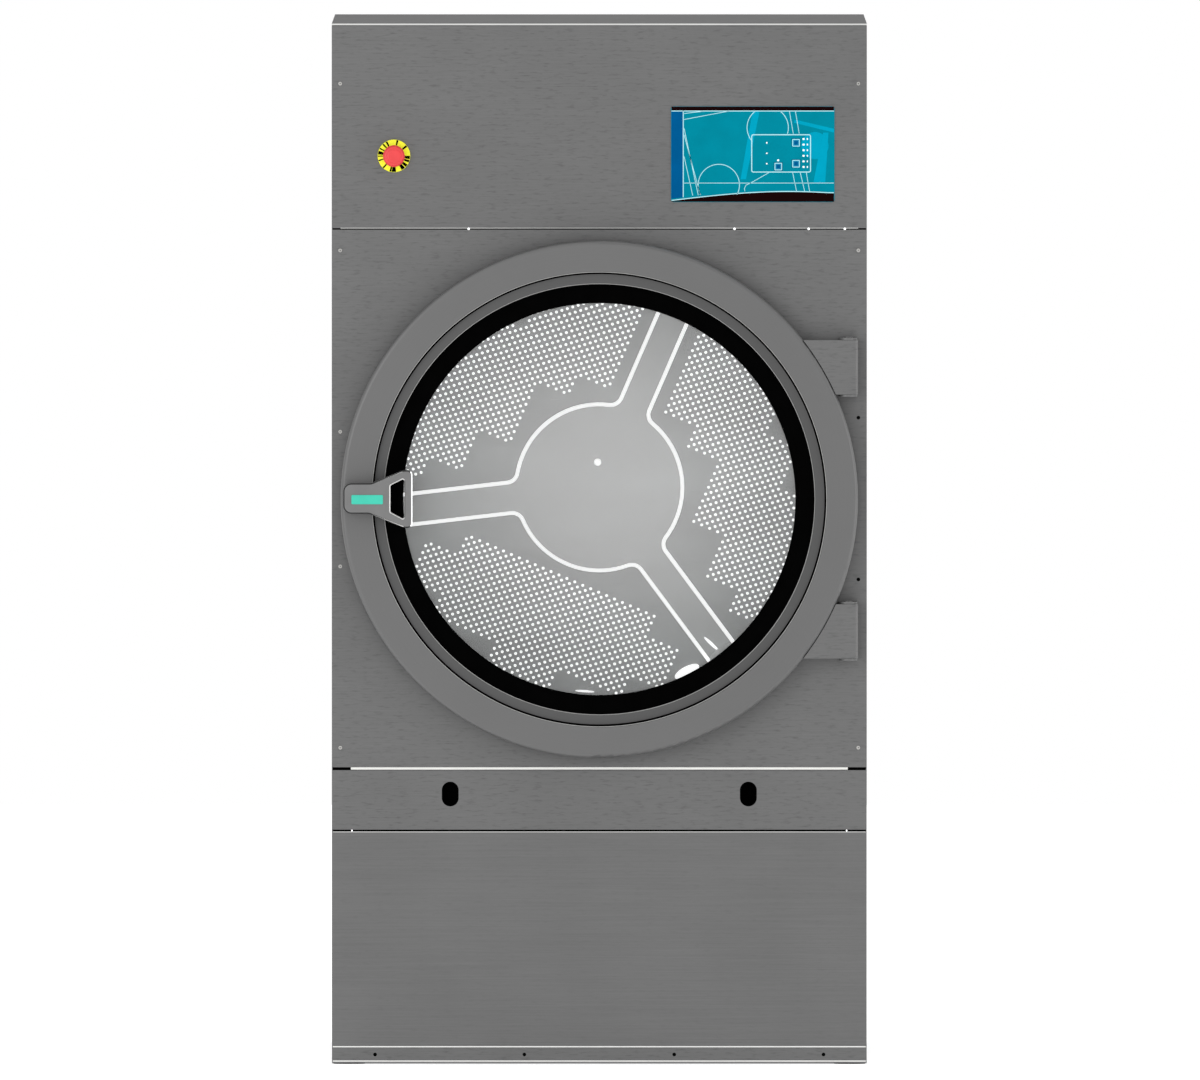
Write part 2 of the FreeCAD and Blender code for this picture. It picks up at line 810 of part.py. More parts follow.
def make_door_handle():
    """A pull that grows from a blunt nose into a loop with a tapered finger opening."""
    z = D.drum_z + 1.5
    nose, heel = -471, -344
    outline = [
        (nose, z - 27),
        (nose, z + 29),
        (-420, z + 29),
        (-360, z + 53),
        (heel, z + 53),
        (heel, z - 53),
        (-358, z - 53),
        (-424, z - 27),
    ]
    opening = [(-384, z - 24), (-384, z + 25), (-358, z + 38), (-358, z - 38)]
    face = FRONT - D.handle_proud + BADGE_THICK
    deep = DOOR_FACE - face
    solid = padded("handle_solid", lambda sketch: add_polygon(sketch, outline), face, deep)
    hole = padded("handle_hole", lambda sketch: add_polygon(sketch, opening), face - 1, 40)
    solid = rounded_upright_edges("handle_nose", solid, 15, lambda px, pz: px < -465)
    solid = rounded_upright_edges("handle_heel", solid, 9, lambda px, pz: px > heel - 1)
    solid = rounded_upright_edges("handle_flare", solid, 14, lambda px, pz: -430 < px < -350)
    hole = rounded_upright_edges("handle_hole_round", hole, 4, lambda px, pz: True)
    relief_y = (DOOR_FACE - 6, DOOR_FACE + 5)
    relief = box("handle_relief", (-416, heel + 1), relief_y, (z - 60, z + 60))
    looped = without("handle_loop", solid, [hole, relief])
    return soft_front("door_handle", looped, face, 4)


def soft_front(name, base, face, radius):
    """Round every edge that lies in the front face."""
    DOC.recompute()
    level = value_of(face)
    chosen = []
    for index, edge in enumerate(base.Shape.Edges, start=1):
        bounds = edge.BoundBox
        if abs(bounds.YMin - level) < 0.01 and abs(bounds.YMax - level) < 0.01:
            chosen.append((index, radius, radius))
    item = DOC.addObject("Part::Fillet", name)
    item.Base = base
    item.Edges = chosen
    return item


def make_handle_badge():
    z = D.drum_z + 0.5
    face = FRONT - D.handle_proud
    plate = box("badge_plate", (-456, -398), (face, face + BADGE_THICK), (z - 8.5, z + 8.5))
    return rounded_upright_edges("badge_rounded", plate, 2, lambda px, pz: True)


def make_door_magnets():
    """Two catch magnets on the panel, under the door's free edge."""
    catches = []
    for side in SIDES:
        z = D.drum_z + side * D.magnet_rise
        catches.append(box("catch", (-462, -438), (FRONT - 8, FRONT), (z - 20, z + 20)))
    return group("door_magnets", catches)


# ---------------------------------------------------------------- drum
def around_drum(angle, radius, across=0):
    """The x and z of a point at a radius from the drum's axis, shifted across that radius."""
    cosine, sine = math.cos(math.radians(angle)), math.sin(math.radians(angle))
    return radius * cosine - across * sine, D.drum_z + radius * sine + across * cosine


def make_drum_shell():
    """The drum's cylinder with its front flange and the rolled lip of the mouth."""
    outer = D.drum_rad + D.skin
    outline = [
        (D.mouth_rad, D.drum_front),
        (outer, D.drum_front),
        (outer, D.drum_rear),
        (D.drum_rad, D.drum_rear),
        (D.drum_rad, D.drum_front + D.skin),
        (D.mouth_rad + D.skin, D.drum_front + D.skin),
        (D.mouth_rad + D.skin, D.drum_front + 16),
        (D.mouth_rad, D.drum_front + 16),
    ]
    return turned("drum_shell", outline, 0, D.drum_z)


def make_drum_back():
    return rod("drum_back", "Y", 0, D.drum_rear - D.skin, D.drum_z, D.drum_rad, D.skin)


def make_drum_star():
    """The raised hub disc and its three arms, with bevelled edges."""
    hub = rod("star_hub", "Y", 0, STAR_FACE, D.drum_z, D.hub_rad, D.star_deep)
    arms = []
    for angle in ARM_ANGLES:
        x, z = around_drum(angle, 100, D.arm_wide / -2)
        arm = DOC.addObject("Part::Box", "star_arm")
        bind(arm, Length=D.drum_rad - 103, Width=D.star_deep, Height=D.arm_wide)
        place(arm, x, STAR_FACE, z, FreeCAD.Rotation(FreeCAD.Vector(0, 1, 0), -angle))
        arms.append(arm)
    star = joined("star_plain", [hub] + arms)
    middle = value_of(D.drum_z)
    near_hub = value_of(D.hub_rad) + 5
    star = rounded_upright_edges(
        "star_corners", star, 18, lambda px, pz: math.hypot(px, pz - middle) < near_hub
    )
    return bevelled_front("drum_star", star, STAR_FACE, D.star_bevel)


def bevelled_front(name, base, face, size):
    """Chamfer every edge that lies in the front face."""
    DOC.recompute()
    level = value_of(face)
    chosen = []
    for index, edge in enumerate(base.Shape.Edges, start=1):
        bounds = edge.BoundBox
        if abs(bounds.YMin - level) < 0.01 and abs(bounds.YMax - level) < 0.01:
            chosen.append((index, value_of(size), value_of(size)))
    item = DOC.addObject("Part::Chamfer", name)
    item.Base = base
    item.Edges = chosen
    return item


def make_drum_lifters():
    """Three hollow ribs along the shell, in line with the star's arms."""
    lifters = []
    foot = D.drum_rad - 3.8
    deep = STAR_FACE - 0.5 - (D.drum_front + 20)
    for order, angle in enumerate(ARM_ANGLES):
        outline = [
            around_drum(angle, foot, -55),
            around_drum(angle, foot, 55),
            around_drum(angle, foot - 14, 44),
            around_drum(angle, D.lifter_tip, 22),
            around_drum(angle, D.lifter_tip, -22),
            around_drum(angle, foot - 14, -44),
        ]
        hollow = [
            around_drum(angle, foot + 1, -52),
            around_drum(angle, foot + 1, 52),
            around_drum(angle, foot - 13, 41),
            around_drum(angle, D.lifter_tip + 3, 19),
            around_drum(angle, D.lifter_tip + 3, -19),
            around_drum(angle, foot - 13, -41),
        ]
        start = D.drum_front + 20
        rib = padded(
            f"lifter_rib{order}", lambda sketch, line=outline: add_polygon(sketch, line), start, deep
        )
        rib = rounded_upright_edges(f"lifter_round{order}", rib, 12, near_lifter_tip)
        room = padded(
            f"lifter_room{order}",
            lambda sketch, line=hollow: add_polygon(sketch, line),
            start + D.wall,
            deep - 2 * D.wall,
        )
        lifters.append(without(f"lifter{order}", rib, [room]))
    return group("drum_lifters", lifters)


def near_lifter_tip(x, z):
    return math.hypot(x, z - value_of(D.drum_z)) < value_of(D.lifter_tip) + 5


def make_drum_shaft():
    """The stub shaft with its flange against the drum's back."""
    outline = [
        (0.001, D.drum_rear),
        (95, D.drum_rear),
        (95, D.drum_rear + 8),
        (D.shaft_rad + 12, D.drum_rear + 8),
        (D.shaft_rad + 12, D.drum_rear + 40),
        (D.shaft_rad, D.drum_rear + 40),
        (D.shaft_rad, D.drum_wheel_y + 34),
        (0.001, D.drum_wheel_y + 34),
    ]
    return turned("drum_shaft", outline, 0, D.drum_z)


def wheel_outline(bore, hub, rim, start, wide, web=6):
    """The half section of a pulley: hub, thin web and a rim with low flanges."""
    end = start + wide
    middle = start + wide / 2
    return [
        (bore, start),
        (hub, start),
        (hub, middle - web / 2),
        (rim - 12, middle - web / 2),
        (rim - 12, start),
        (rim, start),
        (rim, end),
        (rim - 12, end),
        (rim - 12, middle + web / 2),
        (hub, middle + web / 2),
        (hub, end),
        (bore, end),
    ]


def make_drum_pulley():
    wheel = turned(
        "drum_wheel_solid",
        wheel_outline(D.shaft_rad, 45, D.drum_wheel, D.drum_wheel_y, 28),
        0,
        D.drum_z,
    )
    holes = []
    for step in range(6):
        x, z = around_drum(60 * step + 30, 120)
        holes.append(rod("wheel_hole", "Y", x, D.drum_wheel_y - 1, z, 38, 40))
    return without("drum_pulley", wheel, holes)


# ---------------------------------------------------------------- drive
def make_drive_frame():
    """Rear posts and beams that carry the drum bearings, the idler and the motor."""
    y = (D.post_y, D.post_y + D.tube_side)
    parts = []
    for side in SIDES:
        post = ordered(side * D.post_x, side * (D.post_x + D.tube_side))
        parts.append(hollow_box("rear_post", post, y, (D.strip_top, 1880), 3, "-z+z"))
    beams = [
        ((-D.post_x, D.post_x), D.drum_z - 120),
        ((-D.post_x, D.post_x), D.drum_z + 80),
        ((20, D.post_x), 340),
        ((-D.post_x, D.idler_x + 45), D.idler_z - 20),
    ]
    for across, low in beams:
        parts.append(hollow_box("rear_beam", across, y, (low, low + D.tube_side), 3, "-x+x"))
    parts.append(rod("idler_boss", "Y", D.idler_x, 379, D.idler_z, 24, 61))
    shelf_z = D.motor_z - D.motor_rad - 22
    shelf_y = (225, 470)
    shelf_x = (D.motor_x - 90, D.motor_x + 90)
    parts.append(box("motor_shelf", shelf_x, shelf_y, (shelf_z - 4, shelf_z)))
    for x in (shelf_x[0], shelf_x[1] - 4):
        parts.append(box("shelf_rib", (x, x + 4), shelf_y, (340, shelf_z)))
    bore = rod("idler_bore", "Y", D.idler_x, 384, D.idler_z, D.idler_shaft + 0.05, 70)
    return without("drive_frame", joined("drive_parts", parts), [bore])


def make_bearing_housing():
    plate = box("bearing_plate", (-75, 75), (380, 388), (D.drum_z - 118, D.drum_z + 118))
    barrel = rod("bearing_barrel", "Y", 0, 336, D.drum_z, 56, 102)
    bore = rod("bearing_seat", "Y", 0, 335, D.drum_z, 45, 104)
    return without("bearing_housing", joined("bearing_parts", [plate, barrel]), [bore])


def make_drum_bearings():
    rings = []
    for y in (338, 412):
        rings.append(tube("bearing", "Y", 0, y, D.drum_z, 45, D.shaft_rad + D.shaft_fit, 24))
    return group("drum_bearings", rings)


def belt_arc(sketch, centre, radius, start, end):
    """One arc of a belt loop with its centre and radius bound."""
    middle = FreeCAD.Vector(value_of(centre[0]), value_of(centre[1]), 0)
    circle = Part.Circle(middle, UP, value_of(radius))
    index = sketch.addGeometry(Part.ArcOfCircle(circle, start, end), False)
    pin_point(sketch, index, 3, *centre)
    limit = sketch.addConstraint(Sketcher.Constraint("Radius", index, value_of(radius)))
    sketch.setExpression(f"Constraints[{limit}]", formula_of(radius))
    return index


def belt_loop(sketch, large, large_rad, small, small_rad):
    """The outline round two wheels: two arcs and the two lines that touch both."""
    across = value_of(small[0]) - value_of(large[0])
    up = value_of(small[1]) - value_of(large[1])
    heading = math.atan2(up, across)
    spread = math.acos((value_of(large_rad) - value_of(small_rad)) / math.hypot(across, up))
    first, last = heading + spread, heading - spread
    big = belt_arc(sketch, large, large_rad, first, last + 2 * math.pi)
    little = belt_arc(sketch, small, small_rad, last, first)
    ends = []
    for centre, radius in ((large, large_rad), (small, small_rad)):
        for angle in (first, last):
            ends.append(
                FreeCAD.Vector(
                    value_of(centre[0]) + value_of(radius) * math.cos(angle),
                    value_of(centre[1]) + value_of(radius) * math.sin(angle),
                    0,
                )
            )
    upper = sketch.addGeometry(Part.LineSegment(ends[0], ends[2]), False)
    lower = sketch.addGeometry(Part.LineSegment(ends[1], ends[3]), False)
    for line, big_end, little_end in ((upper, 1, 2), (lower, 2, 1)):
        sketch.addConstraint(Sketcher.Constraint("Tangent", line, 1, big, big_end))
        sketch.addConstraint(Sketcher.Constraint("Tangent", line, 2, little, little_end))


def make_belt(name, large, large_rad, small, small_rad, y):
    """A flat ribbed belt that clears both wheels by the belt gap."""
    near = D.belt_gap
    far = D.belt_gap + D.belt_thick

    def draw(sketch, extra):
        belt_loop(sketch, large, large_rad + extra, small, small_rad + extra)

    outside = padded(name + "_outside", lambda sketch: draw(sketch, far), y, D.belt_wide)
    inside = padded(name + "_inside", lambda sketch: draw(sketch, near), y - 1, D.belt_wide + 2)
    return without(name, outside, [inside])


def make_drive_belts():
    """The drum's belt and the motor's belt."""
    drum_belt = make_belt(
        "drum_belt",
        (0, D.drum_z),
        D.drum_wheel,
        (D.idler_x, D.idler_z),
        D.idler_small,
        D.drum_wheel_y + 4,
    )
    motor_belt = make_belt(
        "motor_belt",
        (D.idler_x, D.idler_z),
        D.idler_big,
        (D.motor_x, D.motor_z),
        D.motor_wheel,
        D.idler_big_y + 2,
    )
    return group("drive_belts", [drum_belt, motor_belt])


def make_idler_pulley():
    """The two-step idler: its shaft, the small wheel and the big wheel in one piece."""
    big = D.idler_big_y
    outline = [
        (0.001, 384.5),
        (D.idler_shaft, 384.5),
        (D.idler_shaft, D.drum_wheel_y),
        (D.idler_small, D.drum_wheel_y),
        (D.idler_small, D.drum_wheel_y + 28),
        (28, D.drum_wheel_y + 28),
        (28, big + 9),
        (D.idler_big - 12, big + 9),
        (D.idler_big - 12, big),
        (D.idler_big, big),
        (D.idler_big, big + 24),
        (D.idler_big - 12, big + 24),
        (D.idler_big - 12, big + 15),
        (28, big + 15),
        (28, big + 27),
        (0.001, big + 27),
    ]
    return turned("idler_pulley", outline, D.idler_x, D.idler_z)


def make_drive_motor():
    """The drum motor with end shields, cooling fins, feet and a terminal box."""
    x, z = D.motor_x, D.motor_z
    parts = [rod("motor_can", "Y", x, 240, z, D.motor_rad - 6, 230)]
    parts.append(rod("motor_back", "Y", x, 240, z, D.motor_rad - 2, 30))
    parts.append(rod("motor_front", "Y", x, 445, z, D.motor_rad - 2, 25))
    for step in range(20):
        fin = DOC.addObject("Part::Box", "motor_fin")
        bind(fin, Length=D.motor_rad - 30, Width=170, Height=3)
        angle = 18 * step
        cosine, sine = math.cos(math.radians(angle)), math.sin(math.radians(angle))
        base_x, base_z = x + 30 * cosine + 1.5 * sine, z + 30 * sine - 1.5 * cosine
        place(fin, base_x, 272, base_z, FreeCAD.Rotation(FreeCAD.Vector(0, 1, 0), -angle))
        parts.append(fin)
    low = z - D.motor_rad - 22
    for side in SIDES:
        foot = ordered(x + side * 30, x + side * 75)
        parts.append(box("motor_foot", foot, (290, 420), (low, low + 8)))
        leg = ordered(x + side * 30, x + side * 40)
        parts.append(box("motor_leg", leg, (290, 420), (low, z - 40)))
    terminals_top = z + D.motor_rad + 20
    parts.append(box("motor_terminals", (x - 40, x + 40), (300, 390), (z + 40, terminals_top)))
    shaft_room = rod("motor_bore", "Y", x, 420, z, 9.55, 60)
    return without("drive_motor", joined("motor_parts", parts), [shaft_room])


def make_motor_pulley():
    """The motor's shaft end and its small wheel."""
    outline = [
        (0.001, 421),
        (9.5, 421),
        (9.5, D.idler_big_y),
        (D.motor_wheel, D.idler_big_y),
        (D.motor_wheel, D.idler_big_y + 24),
        (0.001, D.idler_big_y + 24),
    ]
    return turned("motor_pulley", outline, D.motor_x, D.motor_z)


# ---------------------------------------------------------------- air path
def make_air_jacket():
    """The drum's casing: a wrapper with a front ring, a back wall and its two air openings."""
    outer = D.casing_rad + D.skin
    outline = [
        (400, D.casing_front),
        (outer, D.casing_front),
        (outer, D.casing_rear),
        (32, D.casing_rear),
        (32, D.casing_rear - D.skin),
        (D.casing_rad, D.casing_rear - D.skin),
        (D.casing_rad, D.casing_front + D.skin),
        (400, D.casing_front + D.skin),
    ]
    wrapper = turned("casing_wrap", outline, 0, D.drum_z)
    chute = hollow_box(
        "casing_chute", (-301.5, 301.5), (-421.5, -58.5), (546, 720), D.skin, open_sides="-z+z"
    )
    room = rod("casing_room", "Y", 0, D.casing_front - 1, D.drum_z, D.casing_rad, 860)
    chute = without("casing_chute_cut", chute, [room])
    lower = box("casing_outlet", (-300, 300), (-420, -60), (500, D.drum_z - 300))
    upper = box("casing_inlet", (-280, 280), (0, 300), (D.drum_z + 300, D.drum_z + 500))
    return without("air_jacket", joined("casing_parts", [wrapper, chute]), [lower, upper])


def make_drum_collar():
    """The fixed collar that leads laundry from the door into the drum's mouth."""
    outline = [
        (D.collar_rad - D.skin, FRONT_IN),
        (D.collar_rad + 24, FRONT_IN),
        (D.collar_rad + 24, FRONT_IN + D.skin),
        (D.collar_rad, FRONT_IN + D.skin),
        (D.collar_rad, D.drum_front + 10),
        (D.collar_rad - D.skin, D.drum_front + 10),
    ]
    return turned("drum_collar", outline, 0, D.drum_z)


def make_heater_box():
    shell = hollow_box(
        "heater_shell", (-281.5, 281.5), (-1.5, 301.5), (1400, 1800), D.skin, open_sides="-z"
    )
    room = rod("heater_room", "Y", 0, -10, D.drum_z, D.casing_rad + D.skin + 0.1, 330)
    inlet = box("heater_inlet", (-220, 220), (280, 320), (1560, 1760))
    return without("heater_box", shell, [room, inlet])


def make_heater_elements():
    """Five hairpin rods across the air stream, held by the box's left wall."""
    hairpins = []
    for y in (50, 100, 150, 200, 250):
        legs = [rod("heater_leg", "X", -280, y, z, 4.2, 480) for z in (1600, 1660)]
        bend = DOC.addObject("Part::Torus", "heater_bend")
        bind(bend, Radius1=30, Radius2=4.2, Angle3=180)
        place(bend, 200, y, 1630, FreeCAD.Rotation(FreeCAD.Vector(1, 0, 0), 90))
        bend.Placement = FreeCAD.Placement(
            bend.Placement.Base,
            FreeCAD.Rotation(FreeCAD.Vector(1, 0, 0), 90) * FreeCAD.Rotation(UP, -90),
        )
        hairpins.append(joined("hairpin", legs + [bend]))
    return group("heater_elements", hairpins)


def make_lint_plenum():
    """The housing of the lint drawer, its runners, and the drop to the fan's inlet."""
    chamber = hollow_box(
        "lint_chamber", (-446, 446), (POST_BACK + 1, 20), (426.5, 546), D.skin, open_sides="-y"
    )
    drop = hollow_box(
        "lint_drop", (D.fan_x - 180, D.fan_x - 61.5), (-200, 0), (110, 428), D.skin, open_sides="+z"
    )
    chamber = without(
        "lint_chamber_cut",
        chamber,
        [
            box("lint_top", (-300, 300), (-420, -60), (540, 550)),
            box("lint_floor", (D.fan_x - 178.5, D.fan_x - 63), (-198.5, -1.5), (420, 430)),
        ],
    )
    inlet = rod("drop_outlet", "X", D.fan_x - 70, D.fan_y, D.fan_z, 85, 12)
    runners = []
    for side in SIDES:
        for low in (434, 540):
            edge = ordered(side * 444.5, side * 424)
            runners.append(box("runner", edge, (POST_BACK + 3, 15), (low, low + 2)))
    return without("lint_plenum", joined("plenum_parts", [chamber, drop] + runners), [inlet])


def make_fan_housing():
    """The scroll of the exhaust fan, with its inlet on the left and its outlet to the rear."""
    x = D.fan_x - D.fan_wide / 2
    scroll = rod("scroll", "X", x, D.fan_y, D.fan_z, D.fan_rad, D.fan_wide)
    snout = box(
        "snout", (x, x + D.fan_wide), (D.fan_y, 80), (FAN_TOP - D.outlet_tall, FAN_TOP)
    )
    scroll_in = rod(
        "scroll_in", "X", x + D.wall, D.fan_y, D.fan_z, D.fan_rad - D.wall, D.fan_wide - 2 * D.wall
    )
    snout_in = box(
        "snout_in",
        (x + D.wall, x + D.fan_wide - D.wall),
        (D.fan_y, 90),
        (FAN_TOP - D.outlet_tall + D.wall, FAN_TOP - D.wall),
    )
    inlet = rod("scroll_inlet", "X", x - 1, D.fan_y, D.fan_z, 85, 10)
    shaft_room = rod("scroll_shaft_hole", "X", x + D.fan_wide - 10, D.fan_y, D.fan_z, 14, 20)
    stand_y = (D.fan_y - 110, D.fan_y + 110)
    stand = box("fan_stand", (x, x + D.fan_wide), stand_y, (D.strip_top, 100))
    stand = without(
        "fan_stand_cut",
        stand,
        [
            rod("stand_room", "X", x - 1, D.fan_y, D.fan_z, D.fan_rad - 1, D.fan_wide + 2),
            box("stand_hollow", (x + 4, x + D.fan_wide - 4), (-300, 100), (D.strip_top + 3, 101)),
        ],
    )
    shell = joined("scroll_shell", [scroll, snout, stand])
    return without("fan_housing", shell, [scroll_in, snout_in, inlet, shaft_room])


def make_fan_impeller():
    """A back plate with curved vanes, its hub and the motor's shaft."""
    x = D.fan_x - 50
    parts = [rod("fan_plate", "X", D.fan_x + 46, D.fan_y, D.fan_z, D.vane_rad, 3)]
    parts.append(rod("fan_hub", "X", D.fan_x + 10, D.fan_y, D.fan_z, 24, 38))
    parts.append(rod("fan_shaft", "X", D.fan_x + 40, D.fan_y, D.fan_z, 9, 60))
    for step in range(12):
        angle = math.radians(30 * step)
        vane = DOC.addObject("Part::Box", "fan_vane")
        bind(vane, Length=96, Width=2.5, Height=54)
        y = D.fan_y + 80 * math.cos(angle)
        z = D.fan_z + 80 * math.sin(angle)
        lean = FreeCAD.Rotation(FreeCAD.Vector(1, 0, 0), 30 * step - 125)
        place(vane, x, y, z, lean)
        parts.append(vane)
    return joined("fan_impeller", parts)


def make_fan_motor():
    x = D.fan_x + D.fan_wide / 2
    can = rod("fan_can", "X", x + 12, D.fan_y, D.fan_z, 62, 190)
    flange = rod("fan_flange", "X", x, D.fan_y, D.fan_z, 80, 13)
    cowl = rod("fan_cowl", "X", x + 175, D.fan_y, D.fan_z, 66, 40)
    terminals_y = (D.fan_y - 30, D.fan_y + 30)
    box_top = box("fan_terminals", (x + 60, x + 130), terminals_y, (D.fan_z + 50, D.fan_z + 90))
    bore = rod("fan_motor_bore", "X", x - 1, D.fan_y, D.fan_z, 9.4, 45)
    return without("fan_motor", joined("fan_motor_parts", [can, flange, cowl, box_top]), [bore])


def make_exhaust_duct():
    """The square duct behind the fan and the round spigot outside the rear panel."""
    x = (D.fan_x - D.duct_side / 2, D.fan_x + D.duct_side / 2)
    z = (DUCT_Z - D.duct_side / 2, DUCT_Z + D.duct_side / 2)
    end = REAR - 15
    duct = hollow_box("duct_box", x, (80, end), z, D.skin)
    spigot = rod("spigot", "Y", D.fan_x, end - 1, DUCT_Z, D.spigot_rad, D.spigot_out + 16)
    bore = rod("spigot_in", "Y", D.fan_x, end - 20, DUCT_Z, D.spigot_rad - D.skin, D.spigot_out + 50)
    mouth = box(
        "duct_mouth",
        (D.fan_x - D.fan_wide / 2 + D.wall, D.fan_x + D.fan_wide / 2 - D.wall),
        (70, 90),
        (FAN_TOP - D.outlet_tall + D.wall, FAN_TOP - D.wall),
    )
    return without("exhaust_duct", joined("duct_parts", [duct, spigot]), [bore, mouth])


# ---------------------------------------------------------------- lint drawer
def finger_form(name, side, y, margin, deep):
    return obround(
        name,
        side * D.finger_x,
        y,
        D.finger_z,
        D.finger_wide + 2 * margin,
        D.finger_tall + 2 * margin,
        deep,
    )


def make_drawer_front():
    cutters = [finger_form("finger_hole", side, FRONT - 1, 0, 6) for side in SIDES]
    return front_tray("drawer_front", D.drawer_low, D.drawer_top, cutters)


def make_finger_cups():
    cups = []
    for side in SIDES:
        outside = finger_form("cup_outside", side, FRONT_IN, 2, D.cup_deep)
        flange = finger_form("cup_flange", side, FRONT_IN, 7, 1.5)
        inside = finger_form("cup_inside", side, FRONT_IN - 1, 0.3, D.cup_deep - 1)
        cups.append(without("finger_cup", joined("cup_parts", [outside, flange]), [inside]))
    return group("finger_cups", cups)


def make_drawer_tray():
    """The open tray behind the drawer's front; its floor is a frame for the lint screen."""
    start = FRONT + D.fold
    end = start + D.tray_long
    neck_end = POST_BACK + 5
    across = (-D.tray_half, D.tray_half)
    tall = (D.tray_low, D.tray_top)
    plate_z = (D.drawer_low + 1, D.drawer_top - 1)
    plate = box("tray_plate", (-INSIDE, INSIDE), (start, start + D.skin), plate_z)
    walls = hollow_box("tray_walls", across, (neck_end - 1, end), tall, D.skin, open_sides="+z")
    neck = hollow_box("tray_neck", across, (start, neck_end), tall, D.skin, open_sides="-y+y+z")
    window = box("tray_window", (-400, 400), (POST_BACK + 40, end - 30), (430, 450))
    rooms = []
    for side in SIDES:
        x = side * D.finger_x
        rooms.append(box("cup_room", (x - 19, x + 19), (start - 1, start + 12), (470, 526)))
    gap_y = (neck_end - 2, neck_end + 2)
    gap = box("tray_front_gap", (-420, 420), gap_y, (D.tray_low + 2, D.tray_top + 8))
    tray = joined("tray_parts", [plate, walls, neck])
    return without("drawer_tray", tray, [window, gap] + rooms)


def make_lint_screen():
    """The mesh in its thin frame, lying on the tray's floor."""
    start = FRONT + D.fold
    y = (POST_BACK + 25, start + D.tray_long - 15)
    low = D.tray_low + D.skin
    return box("lint_screen", (-415, 415), y, (low, low + 1.2))


def make_drawer_seal():
    """The pale felt strip in the gap over the drawer."""
    reach = HALF - D.flange
    tall = (D.drawer_top + 1, D.surround_low)
    return box("drawer_seal", (-reach, reach), (FRONT + 2, FRONT + 16), tall)


# ---------------------------------------------------------------- assembly and export
def build_nodes():
    node("base_frame", make_base_frame())
    node("levelling_feet", make_levelling_feet())
    node("side_panel_left", make_side_panel(-1))
    node("side_panel_right", make_side_panel(1))
    node("top_panel", make_top_panel())
    node("rear_panel", make_rear_panel())
    node("front_frame", make_front_frame())
    node("control_fascia", make_control_fascia())
    node("door_surround", make_door_surround())
    node("service_panel", make_service_panel())
    node("panel_screws", make_panel_screws())
    node("control_overlay", make_control_overlay())
    node("control_board", make_control_board())
    for name in KEYS:
        node(name, make_key(name))
    node("estop_ring", make_stop_ring())
    node("estop_housing", make_stop_housing())
    node("estop_plunger", make_stop_plunger())
    node("estop_head", make_stop_head())
    node("electrical_box", make_electrical_box())
    node("cable_gland", make_cable_gland())
    node("door_ring", make_door_ring())
    node("door_inner_ring", make_door_inner_ring())
    node("glass_seal", make_glass_seal())
    node("door_glass", make_door_glass())
    node("door_gasket", make_door_gasket())
    node("hinge_arms", make_hinge_arms())
    node("hinge_brackets", make_hinge_brackets())
    node("hinge_pins", make_hinge_pins())
    node("door_handle", make_door_handle())
    node("handle_badge", make_handle_badge())
    node("door_magnets", make_door_magnets())
    node("drum_shell", make_drum_shell())
    node("drum_back", make_drum_back())
    node("drum_star", make_drum_star())
    node("drum_lifters", make_drum_lifters())
    node("drum_shaft", make_drum_shaft())
    node("drum_pulley", make_drum_pulley())
    node("drive_frame", make_drive_frame())
    node("bearing_housing", make_bearing_housing())
    node("drum_bearings", make_drum_bearings())
    node("drive_belts", make_drive_belts())
    node("idler_pulley", make_idler_pulley())
    node("drive_motor", make_drive_motor())
    node("motor_pulley", make_motor_pulley())
    node("air_jacket", make_air_jacket())
    node("drum_collar", make_drum_collar())
    node("heater_box", make_heater_box())
    node("heater_elements", make_heater_elements())
    node("lint_plenum", make_lint_plenum())
    node("fan_housing", make_fan_housing())
    node("fan_impeller", make_fan_impeller())
    node("fan_motor", make_fan_motor())
    node("exhaust_duct", make_exhaust_duct())
    node("drawer_front", make_drawer_front())
    node("finger_cups", make_finger_cups())
    node("drawer_tray", make_drawer_tray())
    node("lint_screen", make_lint_screen())
    node("drawer_seal", make_drawer_seal())


def check_nodes():
    """Stop before anything is written if a feature failed or a shape is unsound."""
    faults = []
    for item in DOC.Objects:
        if "Invalid" in item.State or "Error" in item.State:
            faults.append(f"{item.Name} ({item.Label}) is {item.State}")
    for name, item in NODES.items():
        if item.Shape.isNull() or not item.Shape.isValid() or not item.Shape.Solids:
            faults.append(f"{name} has no sound shape")
    if faults:
        raise SystemExit("\n".join(faults))


def main():
    build_nodes()
    DOC.recompute()
    check_nodes()
    os.makedirs("parts", exist_ok=True)
    for name, item in NODES.items():
        item.Shape.exportStep(os.path.join("parts", name + ".step"))
    print(f"{len(NODES)} nodes written")


main()
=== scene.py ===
"""Looks of the commercial tumble dryer: finishes, fine pieces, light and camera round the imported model."""

import json
import math

import bmesh
import bpy
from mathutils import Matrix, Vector
from mathutils.geometry import delaunay_2d_cdt

